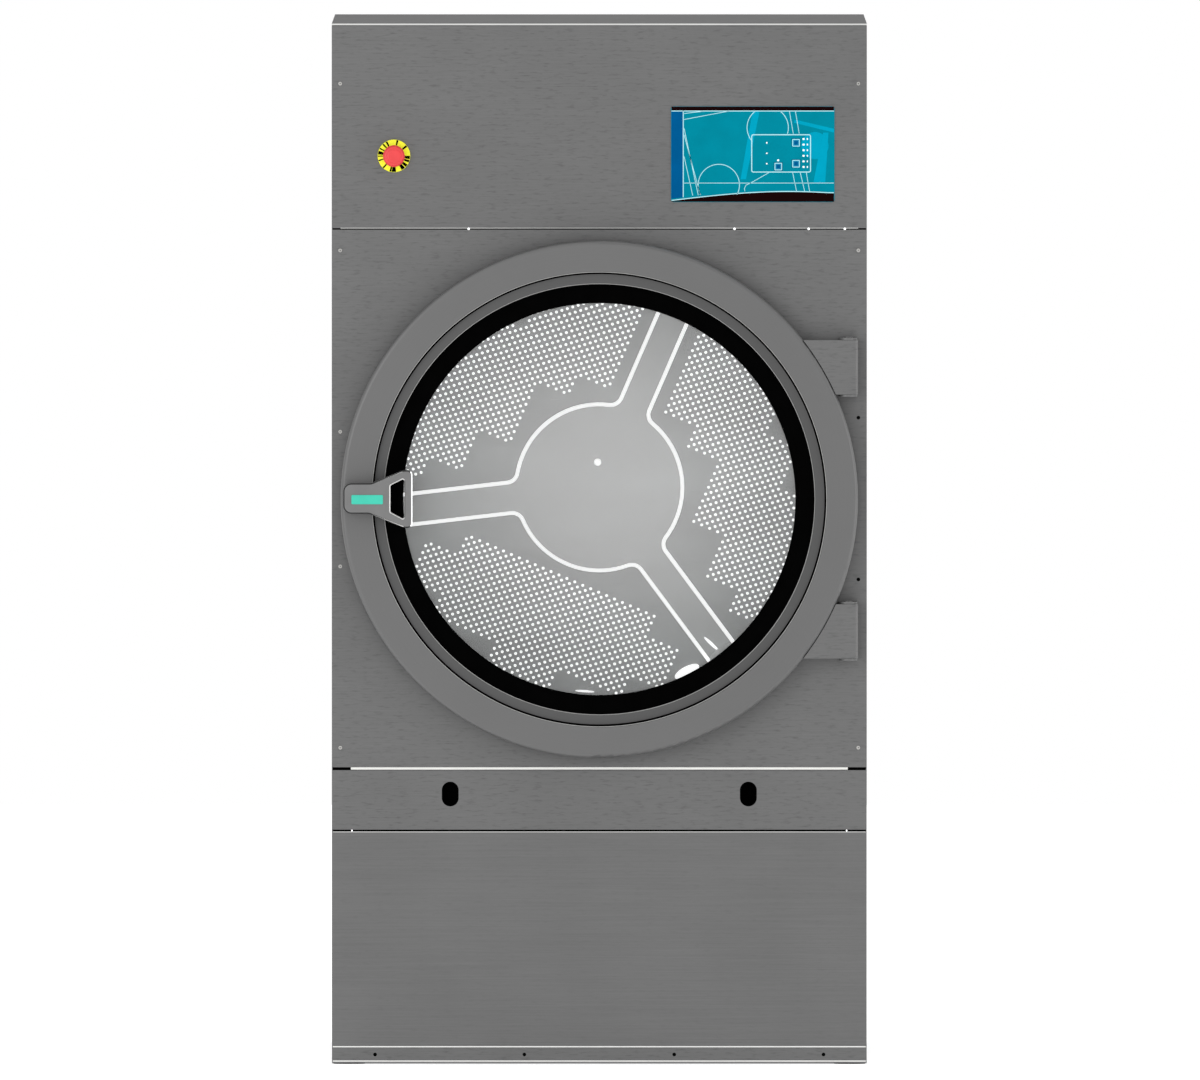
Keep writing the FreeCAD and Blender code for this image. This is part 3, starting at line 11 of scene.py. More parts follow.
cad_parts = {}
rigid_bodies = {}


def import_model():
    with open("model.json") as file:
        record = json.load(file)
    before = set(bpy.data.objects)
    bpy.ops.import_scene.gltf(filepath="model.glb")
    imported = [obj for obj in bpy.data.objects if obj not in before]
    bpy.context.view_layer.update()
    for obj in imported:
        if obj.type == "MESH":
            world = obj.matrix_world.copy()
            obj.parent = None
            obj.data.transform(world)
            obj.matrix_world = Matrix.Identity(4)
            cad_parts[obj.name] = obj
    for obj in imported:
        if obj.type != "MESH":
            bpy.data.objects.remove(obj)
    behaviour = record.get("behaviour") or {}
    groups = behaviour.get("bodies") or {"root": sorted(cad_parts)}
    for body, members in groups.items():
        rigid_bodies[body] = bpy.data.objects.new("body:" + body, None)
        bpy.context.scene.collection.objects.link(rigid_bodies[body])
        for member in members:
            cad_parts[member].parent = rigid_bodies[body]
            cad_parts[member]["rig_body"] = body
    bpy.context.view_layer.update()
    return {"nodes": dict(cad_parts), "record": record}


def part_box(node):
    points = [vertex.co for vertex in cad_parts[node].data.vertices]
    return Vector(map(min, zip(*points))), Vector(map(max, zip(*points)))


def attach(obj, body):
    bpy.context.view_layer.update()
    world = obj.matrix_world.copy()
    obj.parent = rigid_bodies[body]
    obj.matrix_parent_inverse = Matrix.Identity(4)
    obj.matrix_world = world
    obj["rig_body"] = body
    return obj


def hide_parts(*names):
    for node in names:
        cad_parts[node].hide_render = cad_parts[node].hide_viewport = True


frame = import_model()
NODES = frame["nodes"]
MM = 0.001

# ---------------------------------------------------------------- places taken from the frame
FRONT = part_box("door_surround")[0].y
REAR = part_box("rear_panel")[1].y
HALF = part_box("side_panel_right")[1].x
DRUM_Z = (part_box("drum_back")[0].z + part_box("drum_back")[1].z) / 2
ARM_ANGLE = math.radians(66.6)


# ---------------------------------------------------------------- finishes
def shade(red, green, blue):
    """A display colour, 0 to 255, as the linear colour that a shader takes."""
    linear = []
    for level in (red / 255, green / 255, blue / 255):
        linear.append(level / 12.92 if level <= 0.04045 else ((level + 0.055) / 1.055) ** 2.4)
    return (*linear, 1.0)


class Finish:
    """One material: a Principled shader with nodes that vary its colour, roughness and relief."""

    def __init__(self, name, colour, rough, metal=0.0, **sockets):
        self.material = bpy.data.materials.new(name)
        self.material.use_nodes = True
        self.tree = self.material.node_tree
        self.shader = self.tree.nodes["Principled BSDF"]
        self.colour = colour
        self.rough = rough
        self.shader.inputs["Base Color"].default_value = colour
        self.shader.inputs["Roughness"].default_value = rough
        self.shader.inputs["Metallic"].default_value = metal
        for socket, value in sockets.items():
            self.shader.inputs[socket.replace("_", " ")].default_value = value
        self.place = self.add("ShaderNodeTexCoord").outputs["Object"]

    def add(self, kind, **inputs):
        item = self.tree.nodes.new(kind)
        for socket, value in inputs.items():
            self.give(item.inputs[socket], value)
        return item

    def give(self, socket, value):
        if isinstance(value, bpy.types.NodeSocket):
            self.tree.links.new(value, socket)
        else:
            socket.default_value = value

    def stretched(self, across, along, up):
        """The place on the object, scaled so that a pattern is drawn out along one axis."""
        item = self.add("ShaderNodeMapping", Vector=self.place)
        item.inputs["Scale"].default_value = (across, along, up)
        return item.outputs["Vector"]

    def noise(self, place, scale, detail=3.0, rough=0.55):
        item = self.add("ShaderNodeTexNoise", Vector=place, Scale=scale, Detail=detail, Roughness=rough)
        return item.outputs["Fac"]

    def spots(self, place, scale):
        return self.add("ShaderNodeTexVoronoi", Vector=place, Scale=scale)

    def spread(self, value, low, high, to_low, to_high):
        """A value from one range to another, clamped."""
        item = self.add("ShaderNodeMapRange", Value=value)
        item.inputs["From Min"].default_value = low
        item.inputs["From Max"].default_value = high
        item.inputs["To Min"].default_value = to_low
        item.inputs["To Max"].default_value = to_high
        return item.outputs["Result"]

    def tint(self, amount, dark, pale, base=None):
        """Scale the colour from dark to pale as the pattern goes from 0 to 1."""
        item = self.add("ShaderNodeMix")
        item.data_type = "RGBA"
        self.give(item.inputs["Factor"], amount)
        colour = base or self.colour
        self.give(item.inputs[6], tuple(level * dark for level in colour[:3]) + (1.0,))
        self.give(item.inputs[7], tuple(level * pale for level in colour[:3]) + (1.0,))
        return item.outputs[2]

    def multiply(self, first, second):
        item = self.add("ShaderNodeMix")
        item.data_type = "RGBA"
        item.blend_type = "MULTIPLY"
        item.inputs["Factor"].default_value = 1.0
        self.give(item.inputs[6], first)
        self.give(item.inputs[7], second)
        return item.outputs[2]

    def paint(self, colour):
        self.give(self.shader.inputs["Base Color"], colour)

    def gloss(self, amount, spread):
        """Vary the roughness by plus and minus spread."""
        low, high = self.rough - spread, self.rough + spread
        self.give(self.shader.inputs["Roughness"], self.spread(amount, 0.3, 0.7, low, high))

    def relief(self, height, deep, strength=1.0):
        item = self.add("ShaderNodeBump", Height=height, Strength=strength, Distance=deep)
        last = self.shader.inputs["Normal"].links
        if last:
            self.give(item.inputs["Normal"], last[0].from_socket)
        self.give(self.shader.inputs["Normal"], item.outputs["Normal"])


def make_sheet_finish(name, colour, scales, fleck_scales,
                      rough=0.42, metal=0.25, specular=0.35, fleck=0.75):
    """Satin sheet metal: fine streaks along the rolling direction, with short soft dark flecks."""
    finish = Finish(name, colour, rough, metal, Specular_IOR_Level=specular)
    streaks = finish.noise(finish.stretched(*scales), 1.0, 4.0, 0.7)
    cloud = finish.noise(finish.stretched(1, 1, 1), 5.0, 2.0)
    flecks = finish.noise(finish.stretched(*fleck_scales), 1.0, 2.0, 0.6)
    body = finish.tint(finish.spread(streaks, 0.3, 0.7, 0, 1), 0.92, 1.08)
    patches = finish.tint(finish.spread(cloud, 0.35, 0.65, 0, 1), 0.97, 1.03, (1, 1, 1, 1))
    marks = finish.tint(finish.spread(flecks, 0.53, 0.75, 0, 1), 1.0, fleck, (1, 1, 1, 1))
    finish.paint(finish.multiply(finish.multiply(body, patches), marks))
    finish.gloss(streaks, 0.06)
    finish.relief(streaks, 0.00004, 0.6)
    return finish.material


def make_galvanised(name, colour, rough=0.38, metal=0.75):
    """Zinc sheet with its crystal spangle."""
    finish = Finish(name, colour, rough, metal)
    crystals = finish.spots(finish.place, 55.0)
    smear = finish.noise(finish.stretched(9, 9, 9), 1.0, 3.0)
    spangle = finish.add("ShaderNodeSeparateColor", Color=crystals.outputs["Color"]).outputs["Red"]
    body = finish.tint(spangle, 0.84, 1.12)
    finish.paint(finish.multiply(body, finish.tint(smear, 0.9, 1.06, (1, 1, 1, 1))))
    finish.give(finish.shader.inputs["Roughness"], finish.spread(spangle, 0, 1, rough - 0.1, rough + 0.14))
    finish.relief(smear, 0.0001, 0.4)
    return finish.material


def make_steel(name, colour, rough, metal=0.9, scales=(14, 14, 900), depth=0.00003):
    """Bright steel with drawn-out grain and faint handling marks."""
    finish = Finish(name, colour, rough, metal)
    grain = finish.noise(finish.stretched(*scales), 1.0, 4.0, 0.7)
    marks = finish.noise(finish.stretched(7, 7, 7), 1.0, 3.0)
    body = finish.tint(finish.spread(grain, 0.3, 0.7, 0, 1), 0.92, 1.06)
    finish.paint(finish.multiply(body, finish.tint(marks, 0.93, 1.04, (1, 1, 1, 1))))
    finish.gloss(grain, 0.07)
    finish.relief(grain, depth, 0.5)
    return finish.material


def make_plastic(name, colour, rough, grain=900.0, depth=0.00004, **sockets):
    """Moulded plastic with a fine spark-eroded grain and slight wear."""
    finish = Finish(name, colour, rough, 0.0, **sockets)
    pebble = finish.noise(finish.place, grain, 2.0)
    wear = finish.noise(finish.place, 30.0, 4.0)
    finish.paint(finish.tint(finish.spread(wear, 0.3, 0.7, 0, 1), 0.94, 1.05))
    finish.gloss(wear, 0.05)
    finish.relief(pebble, depth, 0.5)
    return finish.material


def make_film(name, colour):
    """Printed polyester film with a fine satin texture."""
    return make_plastic(name, colour, 0.6, 1600.0, 0.00002, Specular_IOR_Level=0.01)


def make_rubber(name, colour, rough=0.8):
    """Dull black rubber with a powdery bloom and a fine moulded grain."""
    finish = Finish(name, colour, rough, 0.0, Specular_IOR_Level=0.008)
    bloom = finish.noise(finish.place, 24.0, 5.0, 0.65)
    pebble = finish.noise(finish.place, 1400.0, 2.0)
    finish.paint(finish.tint(finish.spread(bloom, 0.35, 0.7, 0, 1), 0.8, 1.5))
    finish.gloss(bloom, 0.08)
    finish.relief(pebble, 0.00003, 0.6)
    return finish.material


def make_felt(name, colour):
    finish = Finish(name, colour, 0.95, 0.0, Sheen_Weight=0.25)
    fibres = finish.noise(finish.stretched(600, 1500, 1500), 1.0, 5.0, 0.8)
    finish.paint(finish.tint(finish.spread(fibres, 0.3, 0.7, 0, 1), 0.85, 1.06))
    finish.relief(fibres, 0.0004, 0.8)
    return finish.material


def make_cast(name, colour, rough=0.6, metal=0.5):
    """Sand-cast metal: coarse grain under a thin coat."""
    finish = Finish(name, colour, rough, metal)
    grain = finish.noise(finish.place, 420.0, 4.0, 0.7)
    stain = finish.noise(finish.place, 18.0, 4.0)
    finish.paint(finish.tint(finish.spread(stain, 0.3, 0.7, 0, 1), 0.82, 1.1))
    finish.gloss(grain, 0.1)
    finish.relief(grain, 0.0003, 0.7)
    return finish.material


def make_glass(name):
    """Toughened pane: almost clear, with faint wiping haze."""
    finish = Finish(name, (0.86, 0.93, 0.92, 1.0), 0.03, 0.0)
    haze = finish.noise(finish.stretched(3, 3, 9), 1.0, 4.0)
    finish.give(finish.shader.inputs["Alpha"], finish.spread(haze, 0.3, 0.7, 0.03, 0.06))
    finish.shader.inputs["IOR"].default_value = 1.5
    finish.relief(haze, 0.0001, 0.05)
    return finish.material


def make_board(name):
    """Circuit board: green mask with lighter copper runs under it."""
    finish = Finish(name, shade(20, 84, 52), 0.45, 0.0)
    tracks = finish.spots(finish.stretched(160, 160, 60), 1.0)
    tracks.distance = "CHEBYCHEV"
    runs = finish.spread(tracks.outputs["Distance"], 0.34, 0.38, 0, 1)
    finish.paint(finish.tint(runs, 0.85, 1.7))
    finish.relief(runs, 0.0001, 0.5)
    return finish.material


def make_rings(name, colour, rough, metal, centre_x, centre_z, pitch):
    """Turned metal: fine rings about an axle that runs front to back."""
    finish = Finish(name, colour, rough, metal)
    offset = finish.add("ShaderNodeMapping", Vector=finish.place)
    offset.inputs["Location"].default_value = (-centre_x, 0, -centre_z)
    offset.inputs["Scale"].default_value = (1, 0, 1)
    length = finish.add("ShaderNodeVectorMath")
    length.operation = "LENGTH"
    finish.give(length.inputs[0], offset.outputs["Vector"])
    scaled = finish.add("ShaderNodeMath")
    scaled.operation = "MULTIPLY"
    finish.give(scaled.inputs[0], length.outputs["Value"])
    scaled.inputs[1].default_value = 1 / pitch
    rings = finish.noise(scaled.outputs["Value"], 1.0)
    cloud = finish.noise(finish.place, 6.0, 3.0)
    body = finish.tint(finish.spread(rings, 0.3, 0.7, 0, 1), 0.95, 1.04)
    finish.paint(finish.multiply(body, finish.tint(cloud, 0.94, 1.05, (1, 1, 1, 1))))
    finish.gloss(rings, 0.05)
    return finish.material


PANEL = shade(97, 97, 97)
FRONT_SCALES = (9, 9, 620)
FRONT_FLECKS = (48, 48, 250)
panel_front = make_sheet_finish("panel_sheet", PANEL, FRONT_SCALES, FRONT_FLECKS)
panel_smooth = make_sheet_finish("panel_sheet_smooth", PANEL, (5, 5, 420), FRONT_FLECKS, fleck=0.92)
panel_top = make_sheet_finish("panel_sheet_top", PANEL, (9, 620, 9), (60, 260, 60), 0.6, 0.0, 0.05)
panel_ring = make_rings("door_ring_sheet", shade(94, 94, 94), 0.42, 0.25, 0, DRUM_Z, 0.0016)
# painted shade: a darker copy of the door ring sheet for the recessed inner ring
shaded_recess_ring = make_rings("door_recess_painted_shade", shade(74, 74, 74), 0.45, 0.25, 0, DRUM_Z, 0.0016)
# painted highlight: bright strips along the folded panel edges
painted_edge_highlight = make_steel("painted_fold_highlight", shade(196, 196, 194), 0.35, 0.4)
drum_sheet = make_steel("drum_sheet", shade(154, 153, 153), 0.34, 0.85)
star_sheet = make_rings("star_sheet", shade(172, 171, 171), 0.36, 0.8, 0, DRUM_Z, 0.0031)
# painted highlight: a steel that glows without being a lamp, for bevels, glints and bright ticks
glowing_highlight = make_steel("glowing_highlight", shade(250, 250, 250), 0.25, 0.15)
glowing_highlight.node_tree.nodes["Principled BSDF"].inputs["Emission Color"].default_value = (1, 1, 1, 1)
glowing_highlight.node_tree.nodes["Principled BSDF"].inputs["Emission Strength"].default_value = 0.75
# painted highlight: pale lips on the door ring and by the seal
painted_lip_highlight = make_steel("painted_lip_highlight", shade(158, 158, 156), 0.35, 0.2)
# painted highlight: pale lines along the base strip, its hem and round the handle opening
painted_pale_highlight = make_steel("painted_rim_highlight", shade(214, 214, 212), 0.3, 0.2)
pin_steel = make_steel("hinge_pin_steel", shade(100, 100, 100), 0.5, 0.3, (90, 90, 400))
# black for print on the stop plate, and painted shade in gaps, grooves, holes, screw slots and finger cups
ink_and_shade_black = make_rubber("ink_and_shade_black", (0.0006, 0.0006, 0.0006, 1.0), 0.95)
white_felt = make_felt("seal_felt", shade(236, 236, 232))

FINISHES = {
    "panel_paint": panel_front,
    "handle_plastic": make_plastic("handle_grip", shade(101, 101, 101), 0.45),
    "galvanised": make_galvanised("zinc_sheet", shade(176, 180, 182)),
    "frame_paint": make_cast("frame_coat", shade(92, 94, 96), 0.55, 0.1),
    "drum_steel": drum_sheet,
    "screw_steel": make_steel("screw_plate", shade(172, 171, 168), 0.3, 0.85, (200, 200, 200)),
    "glass": make_glass("pane"),
    "black_rubber": make_rubber("black_seal", (0.0007, 0.0007, 0.0007, 1.0), 0.9),
    "foot_rubber": make_rubber("foot_rubber", shade(92, 92, 92)),
    "felt": white_felt,
    "overlay_film": make_film("overlay_teal", shade(0, 121, 140)),
    "key_plastic": make_plastic("key_cap", shade(0, 120, 156), 0.4, Specular_IOR_Level=0.15),
    "badge_plastic": make_plastic("badge_face", shade(44, 180, 156), 0.4),
    "stop_yellow": make_plastic("stop_plate", shade(236, 236, 28), 0.4),
    "stop_red": make_plastic("stop_button", shade(211, 63, 65), 0.4, Specular_IOR_Level=0.3),
    "black_plastic": make_plastic("black_moulding", shade(26, 26, 28), 0.45),
    "board": make_board("circuit_board"),
    "motor_metal": make_cast("motor_casing", shade(120, 126, 130), 0.5, 0.4),
    "pulley_metal": make_steel("pulley_metal", shade(168, 168, 166), 0.36, 0.85, (30, 900, 30)),
    "cast_metal": make_cast("cast_iron", shade(88, 92, 98)),
    "bearing_steel": make_steel("ground_steel", shade(196, 196, 196), 0.22, 0.95, (60, 900, 60)),
    "magnet": make_steel("magnet_plate", shade(150, 150, 152), 0.4, 0.8, (90, 90, 90)),
    "element_steel": make_steel("element_sheath", shade(122, 104, 92), 0.45, 0.7, (60, 60, 60)),
    "belt_rubber": make_rubber("belt_rubber", shade(30, 30, 32), 0.7),
}


def dress_nodes():
    """Give every carried-over node the finish of its slot."""
    for part in frame["record"]["subparts"]:
        mesh = NODES[part["node"]].data
        mesh.materials.clear()
        mesh.materials.append(FINISHES[part["material_slot"]])


def dress_faces(name, material, wanted):
    """Give the faces of one node that meet a condition another finish."""
    mesh = NODES[name].data
    mesh.materials.append(material)
    index = len(mesh.materials) - 1
    for face in mesh.polygons:
        if wanted(face):
            face.material_index = index


# ---------------------------------------------------------------- making pieces
def new_piece(name, mesh, body, slot, *materials):
    """Put a mesh in the scene, riding on a body and finished with the given materials."""
    piece = bpy.data.objects.new(name, mesh)
    bpy.context.scene.collection.objects.link(piece)
    for material in materials:
        mesh.materials.append(material)
    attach(piece, body)
    return piece


def mesh_of(form, name, smooth=False):
    bmesh.ops.recalc_face_normals(form, faces=form.faces)
    mesh = bpy.data.meshes.new(name)
    form.to_mesh(mesh)
    form.free()
    if smooth:
        mesh.shade_smooth()
    return mesh


def add_prism(form, outline, face_y, deep):
    """A closed prism from an (x, z) outline; its front is at face_y and it runs towards +Y."""
    front = [form.verts.new((x, face_y, z)) for x, z in outline]
    back = [form.verts.new((x, face_y + deep, z)) for x, z in outline]
    form.faces.new(front)
    form.faces.new(list(reversed(back)))
    count = len(outline)
    for index in range(count):
        after = (index + 1) % count
        form.faces.new((front[index], back[index], back[after], front[after]))


def plates(name, outlines, face_y, deep, body, slot, material):
    """One piece made of flat plates that share a face height."""
    form = bmesh.new()
    for outline in outlines:
        add_prism(form, outline, face_y, deep)
    new_piece(name, mesh_of(form, name), body, slot, material)


def rounded_box(left, right, low, top, radius, steps=6):
    """An (x, z) outline with its four corners rounded."""
    outline = []
    corners = ((right, top, 0), (left, top, 90), (left, low, 180), (right, low, 270))
    for x, z, start in corners:
        inward_x = -radius if x == right else radius
        inward_z = -radius if z == top else radius
        for step in range(steps + 1):
            angle = math.radians(start + 90 * step / steps)
            across = x + inward_x + radius * math.cos(angle)
            outline.append((across, z + inward_z + radius * math.sin(angle)))
    return outline


def disc(x, z, radius, steps=32):
    turns = [2 * math.pi * step / steps for step in range(steps)]
    return [(x + radius * math.cos(turn), z + radius * math.sin(turn)) for turn in turns]


def ribbon(points, wide):
    """The outline of a stripe of even width along a line of (x, z) points."""
    left, right = [], []
    for index, (x, z) in enumerate(points):
        before = points[max(index - 1, 0)]
        after = points[min(index + 1, len(points) - 1)]
        run = Vector((after[0] - before[0], after[1] - before[1])).normalized() * (wide / 2)
        left.append((x - run.y, z + run.x))
        right.append((x + run.y, z - run.x))
    return left + right[::-1]


def arc(x, z, radius, start, end, steps=40):
    angles = [math.radians(start + (end - start) * step / steps) for step in range(steps + 1)]
    return [(x + radius * math.cos(angle), z + radius * math.sin(angle)) for angle in angles]


def add_turned(form, outline, x, y, z, steps=48):
    """A closed ring or knob turned about a line along Y, from (radius, y) corners."""
    rows = []
    for step in range(steps):
        angle = 2 * math.pi * step / steps
        cosine, sine = math.cos(angle), math.sin(angle)
        row = []
        for radius, height in outline:
            row.append(form.verts.new((x + radius * cosine, y + height, z + radius * sine)))
        rows.append(row)
    count = len(outline)
    for step in range(steps):
        here, there = rows[step], rows[(step + 1) % steps]
        for index in range(count):
            after = (index + 1) % count
            form.faces.new((here[index], there[index], there[after], here[after]))
    bmesh.ops.remove_doubles(form, verts=form.verts, dist=1e-6)


def add_box(form, low, high, bevel=0.0):
    """A box between two corners, its edges bevelled."""
    made = bmesh.ops.create_cube(form, size=1.0)["verts"]
    for vertex in made:
        for axis in range(3):
            vertex.co[axis] = high[axis] if vertex.co[axis] > 0 else low[axis]
    if bevel:
        edges = {edge for vertex in made for edge in vertex.link_edges}
        bmesh.ops.bevel(form, geom=list(edges), offset=bevel, segments=2, affect="EDGES", profile=0.5)


# ---------------------------------------------------------------- drum
ROW_PITCH = 0.01383
COLUMN_PITCH = 0.01606
HOLE_RADIUS = 0.0028
HOLE_CORNERS = 10
STROKE_ROWS = 3
STROKE_COLUMNS = 4
SHEET_LIMIT = 0.400
SHEET_THICK = 0.0015
TRIANGLES_WITH_HOLES = 2
SIDE_COLUMN_START = 0.0539
SIDE_ROW_START = 0.008
SIDE_FIRST_ROWS = (4, 3, 0, -2, -3)
SIDE_ROWS = 12
FAR_ROW_START = -0.176
FAR_FIRST_ROWS = (0, 0, 0, 1)
FAR_ROWS = 8


def stroke_corners():
    """The low corner (along, across) of every press stroke, measured along the first arm."""
    tall = STROKE_ROWS * ROW_PITCH
    wide = STROKE_COLUMNS * COLUMN_PITCH
    corners = []
    for column, first in enumerate(SIDE_FIRST_ROWS):
        near = SIDE_COLUMN_START + column * wide
        for row in range(first, first + SIDE_ROWS):
            low = SIDE_ROW_START + row * tall
            if math.hypot(near + wide, max(abs(low), abs(low + tall))) < SHEET_LIMIT:
                corners += [(low, near), (low, -near - wide)]
    for column, first in enumerate(FAR_FIRST_ROWS):
        near = column * wide
        for row in range(first, first + FAR_ROWS):
            low = FAR_ROW_START - (row + 1) * tall
            if math.hypot(near + wide, low) < SHEET_LIMIT:
                corners += [(low, near), (low, -near - wide)]
    return corners


def hole_centres():
    """The (x, z) of every air hole: staggered rows inside each press stroke."""
    cosine, sine = math.cos(ARM_ANGLE), math.sin(ARM_ANGLE)
    centres = []
    for low, near in stroke_corners():
        for row in range(2 * STROKE_ROWS):
            for column in range(row % 2, 2 * STROKE_COLUMNS, 2):
                along = low + (row + 0.5) * ROW_PITCH / 2
                across = near + (column + 0.5) * COLUMN_PITCH / 2
                x = along * cosine + across * sine
                centres.append((x, DRUM_Z + along * sine - across * cosine))
    return centres


def make_drum_back():
    """The drum's back sheet with its punched air holes, as one thin plate."""
    low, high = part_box("drum_back")
    radius = (high.x - low.x) / 2
    outlines = [disc(0, DRUM_Z, radius, 160)]
    outlines += [disc(x, z, HOLE_RADIUS, HOLE_CORNERS) for x, z in hole_centres()]
    points, faces = [], []
    for outline in outlines:
        start = len(points)
        points += [Vector(point) for point in outline]
        faces.append(list(range(start, len(points))))
    verts, _, cells, *_ = delaunay_2d_cdt(points, [], faces, TRIANGLES_WITH_HOLES, 1e-7)
    mesh = bpy.data.meshes.new("drum_back_sheet")
    mesh.from_pydata([(x, low.y, z) for x, z in verts], [], [tuple(cell) for cell in cells])
    form = bmesh.new()
    form.from_mesh(mesh)
    bmesh.ops.recalc_face_normals(form, faces=form.faces)
    made = bmesh.ops.extrude_face_region(form, geom=form.faces[:])
    moved = [item for item in made["geom"] if isinstance(item, bmesh.types.BMVert)]
    bmesh.ops.translate(form, verts=moved, vec=(0, SHEET_THICK, 0))
    bmesh.ops.recalc_face_normals(form, faces=form.faces)
    form.to_mesh(mesh)
    form.free()
    sheet = new_piece("drum_back_punched", mesh, "drum", "drum_steel", drum_sheet)
    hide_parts("drum_back")


def dress_star():
    """The star's bevels glow brighter than its faces: a painted highlight."""
    # painted highlight: the bevels glow
    dress_faces("drum_star", glowing_highlight, lambda face: 0.3 < abs(face.normal.y) < 0.95)
    mesh = NODES["drum_star"].data
    mesh.materials[0] = star_sheet


# ---------------------------------------------------------------- controls
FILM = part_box("control_overlay")
INK = 0.00012


def overlay_spot(across, up):
    """A place on the overlay in millimetres from its lower left corner."""
    return FILM[0].x + across * MM, FILM[0].z + up * MM


def overlay_line(points, wide=1.1):
    return ribbon([overlay_spot(*point) for point in points], wide * MM)


def make_overlay_art():
    """Plain printed bands, lines and circles on the control overlay, with no lettering."""
    face = FILM[0].y
    slot = "overlay_film"
    wide = 301
    dark = make_film("overlay_dark", shade(20, 4, 4))
    blue = make_film("overlay_blue", shade(0, 78, 128))
    light = make_film("overlay_light", shade(0, 144, 172))
    pale = make_film("overlay_pale", shade(166, 214, 222))
    white = make_film("overlay_white", shade(234, 244, 246))

    def flat(name, outlines, layer, material):
        plates(name, outlines, face - layer * INK, layer * INK, "cabinet", slot, material)

    def patch(*points):
        return [overlay_spot(*point) for point in points]

    disc_x, disc_z = overlay_spot(265, 104)
    flat("overlay_patch_round", [disc(disc_x, disc_z, 25 * MM, 40)], 1, light)
    patches = [
        patch((228, 152), (300, 135), (300, 128), (226, 146)),
        patch((150, 167), (163, 167), (138, 42), (128, 42)),
    ]
    flat("overlay_patches", patches, 1, light)
    flat("overlay_patch_long", [patch((280, 128), (290, 128), (284, 36), (262, 36))], 2, light)
    flat("overlay_side_band", [patch((0.6, 6), (22.5, 9), (22.5, 168), (0.6, 168))], 1, blue)
    low_edge = []
    for step in range(25):
        along = step / 24
        rise = math.sin(min(along / 0.72, 1.35) * math.pi / 2)
        low_edge.append((1 + along * (wide - 2), 3 + 16.5 * rise))
    band = patch((1, 0.6), *low_edge, (wide - 1, 0.6))
    flat("overlay_low_band", [band], 2, dark)
    top_band = patch((1, 168.4), (wide - 1, 168.4), (wide - 1, 175.6), (1, 175.6))
    flat("overlay_top_band", [top_band], 1, dark)
    lines = [
        overlay_line([(22.5, 9), (22.5, 168)], 1.6),
        overlay_line([(0.8, 167.6), (wide - 0.8, 167.6)], 1.6),
        overlay_line([(23, 35), (wide - 1, 35)]),
        overlay_line(low_edge, 1.6),
        overlay_line([(24, 152), (104, 167)]),
        overlay_line([(24, 163), (58, 167)]),
        overlay_line([(24, 136), (50, 13)]),
        overlay_line([(24, 124), (54, 13)]),
        overlay_line([(24, 84), (40, 12)]),
        overlay_line([(218, 167), (225, 126)]),
        overlay_line([(229, 167), (236, 126)]),
        overlay_line([(224, 54), (231, 20)]),
        overlay_line([(238, 54), (246, 20)]),
        overlay_line([(249, 54), (255, 20)]),
        overlay_line([(180, 54), (150, 37), (138, 31), (135, 25), (136, 20)]),
    ]
    first_x, first_z = overlay_spot(88, 31.5)
    second_x, second_z = overlay_spot(178, 137)
    lines.append(ribbon(arc(first_x, first_z, 38 * MM, -28, 208), 1.3 * MM))
    lines.append(ribbon(arc(second_x, second_z, 38 * MM, 127, 222), 1.3 * MM))
    lines.append(ribbon(arc(second_x, second_z, 38 * MM, -17, 53), 1.3 * MM))
    flat("overlay_lines", lines, 3, pale)
    left, low = overlay_spot(147.7, 54.4)
    right, top = overlay_spot(257.7, 124.8)
    make_frame_line("overlay_frame", (left, right, low, top), 1.8 * MM, 4 * MM, face - 4 * INK, pale)
    marks = []
    for row in range(6):
        up = 64.6 + 10.3 * row
        for across, half in ((244, 2.0), (251, 1.2)):
            x, z = overlay_spot(across, up)
            marks.append(rounded_box(x - half * MM, x + half * MM, z - 1.7 * MM, z + 1.7 * MM, 1.0 * MM, 3))
    dot_x, dot_z = overlay_spot(197.2, 76.9)
    marks.append(disc(dot_x, dot_z, 2 * MM, 16))
    flat("overlay_marks", marks, 2, white)
    dress_faces("control_board", white, lambda face: face.center.y < FRONT - 0.0002)
    make_key_caps(pale, blue)


def make_frame_line(name, sides, wide, radius, face_y, material, body="cabinet", slot="overlay_film"):
    """A printed rounded outline: the ring between two rounded boxes."""
    left, right, low, top = sides
    outer = rounded_box(left, right, low, top, radius)
    inner = rounded_box(left + wide, right - wide, low + wide, top - wide, max(radius - wide, 0.0002))
    form = bmesh.new()
    rows = []
    for outline in (outer, inner):
        for y in (face_y, face_y + 2 * INK):
            rows.append([form.verts.new((x, y, z)) for x, z in outline])
    count = len(outer)
    order = (rows[0], rows[2], rows[3], rows[1])
    for step in range(4):
        here, there = order[step], order[(step + 1) % 4]
        for index in range(count):
            after = (index + 1) % count
            form.faces.new((here[index], here[after], there[after], there[index]))
    new_piece(name, mesh_of(form, name), body, slot, material)


def make_key_caps(pale, blue):
    """A printed border and a dark square on each key."""
    for key in ("key_up", "key_down", "key_start"):
        body = NODES[key]["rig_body"]
        low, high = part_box(key)
        margin = 0.7 * MM
        sides = (low.x + margin, high.x - margin, low.z + margin, high.z - margin)
        make_frame_line(key + "_border", sides, 1.3 * MM, 1.2 * MM, low.y - INK, pale, body, "key_plastic")
        inset = 4.2 * MM
        square = rounded_box(low.x + inset, high.x - inset, low.z + inset, high.z - inset, 1 * MM, 3)
        plates(key + "_print", [square], low.y - INK, 2 * INK, body, "key_plastic", blue)


STOP_BARS = ((354, 12), (340, 9), (322, 11), (306, 14), (270, 16), (257, 7), (228, 6), (197, 5), (181, 4),
             (168, 13), (152, 5), (133, 6), (118, 7), (77, 7), (38, 8))
BAR_OUTER = 29.5 * MM
BAR_INNER = 20 * MM


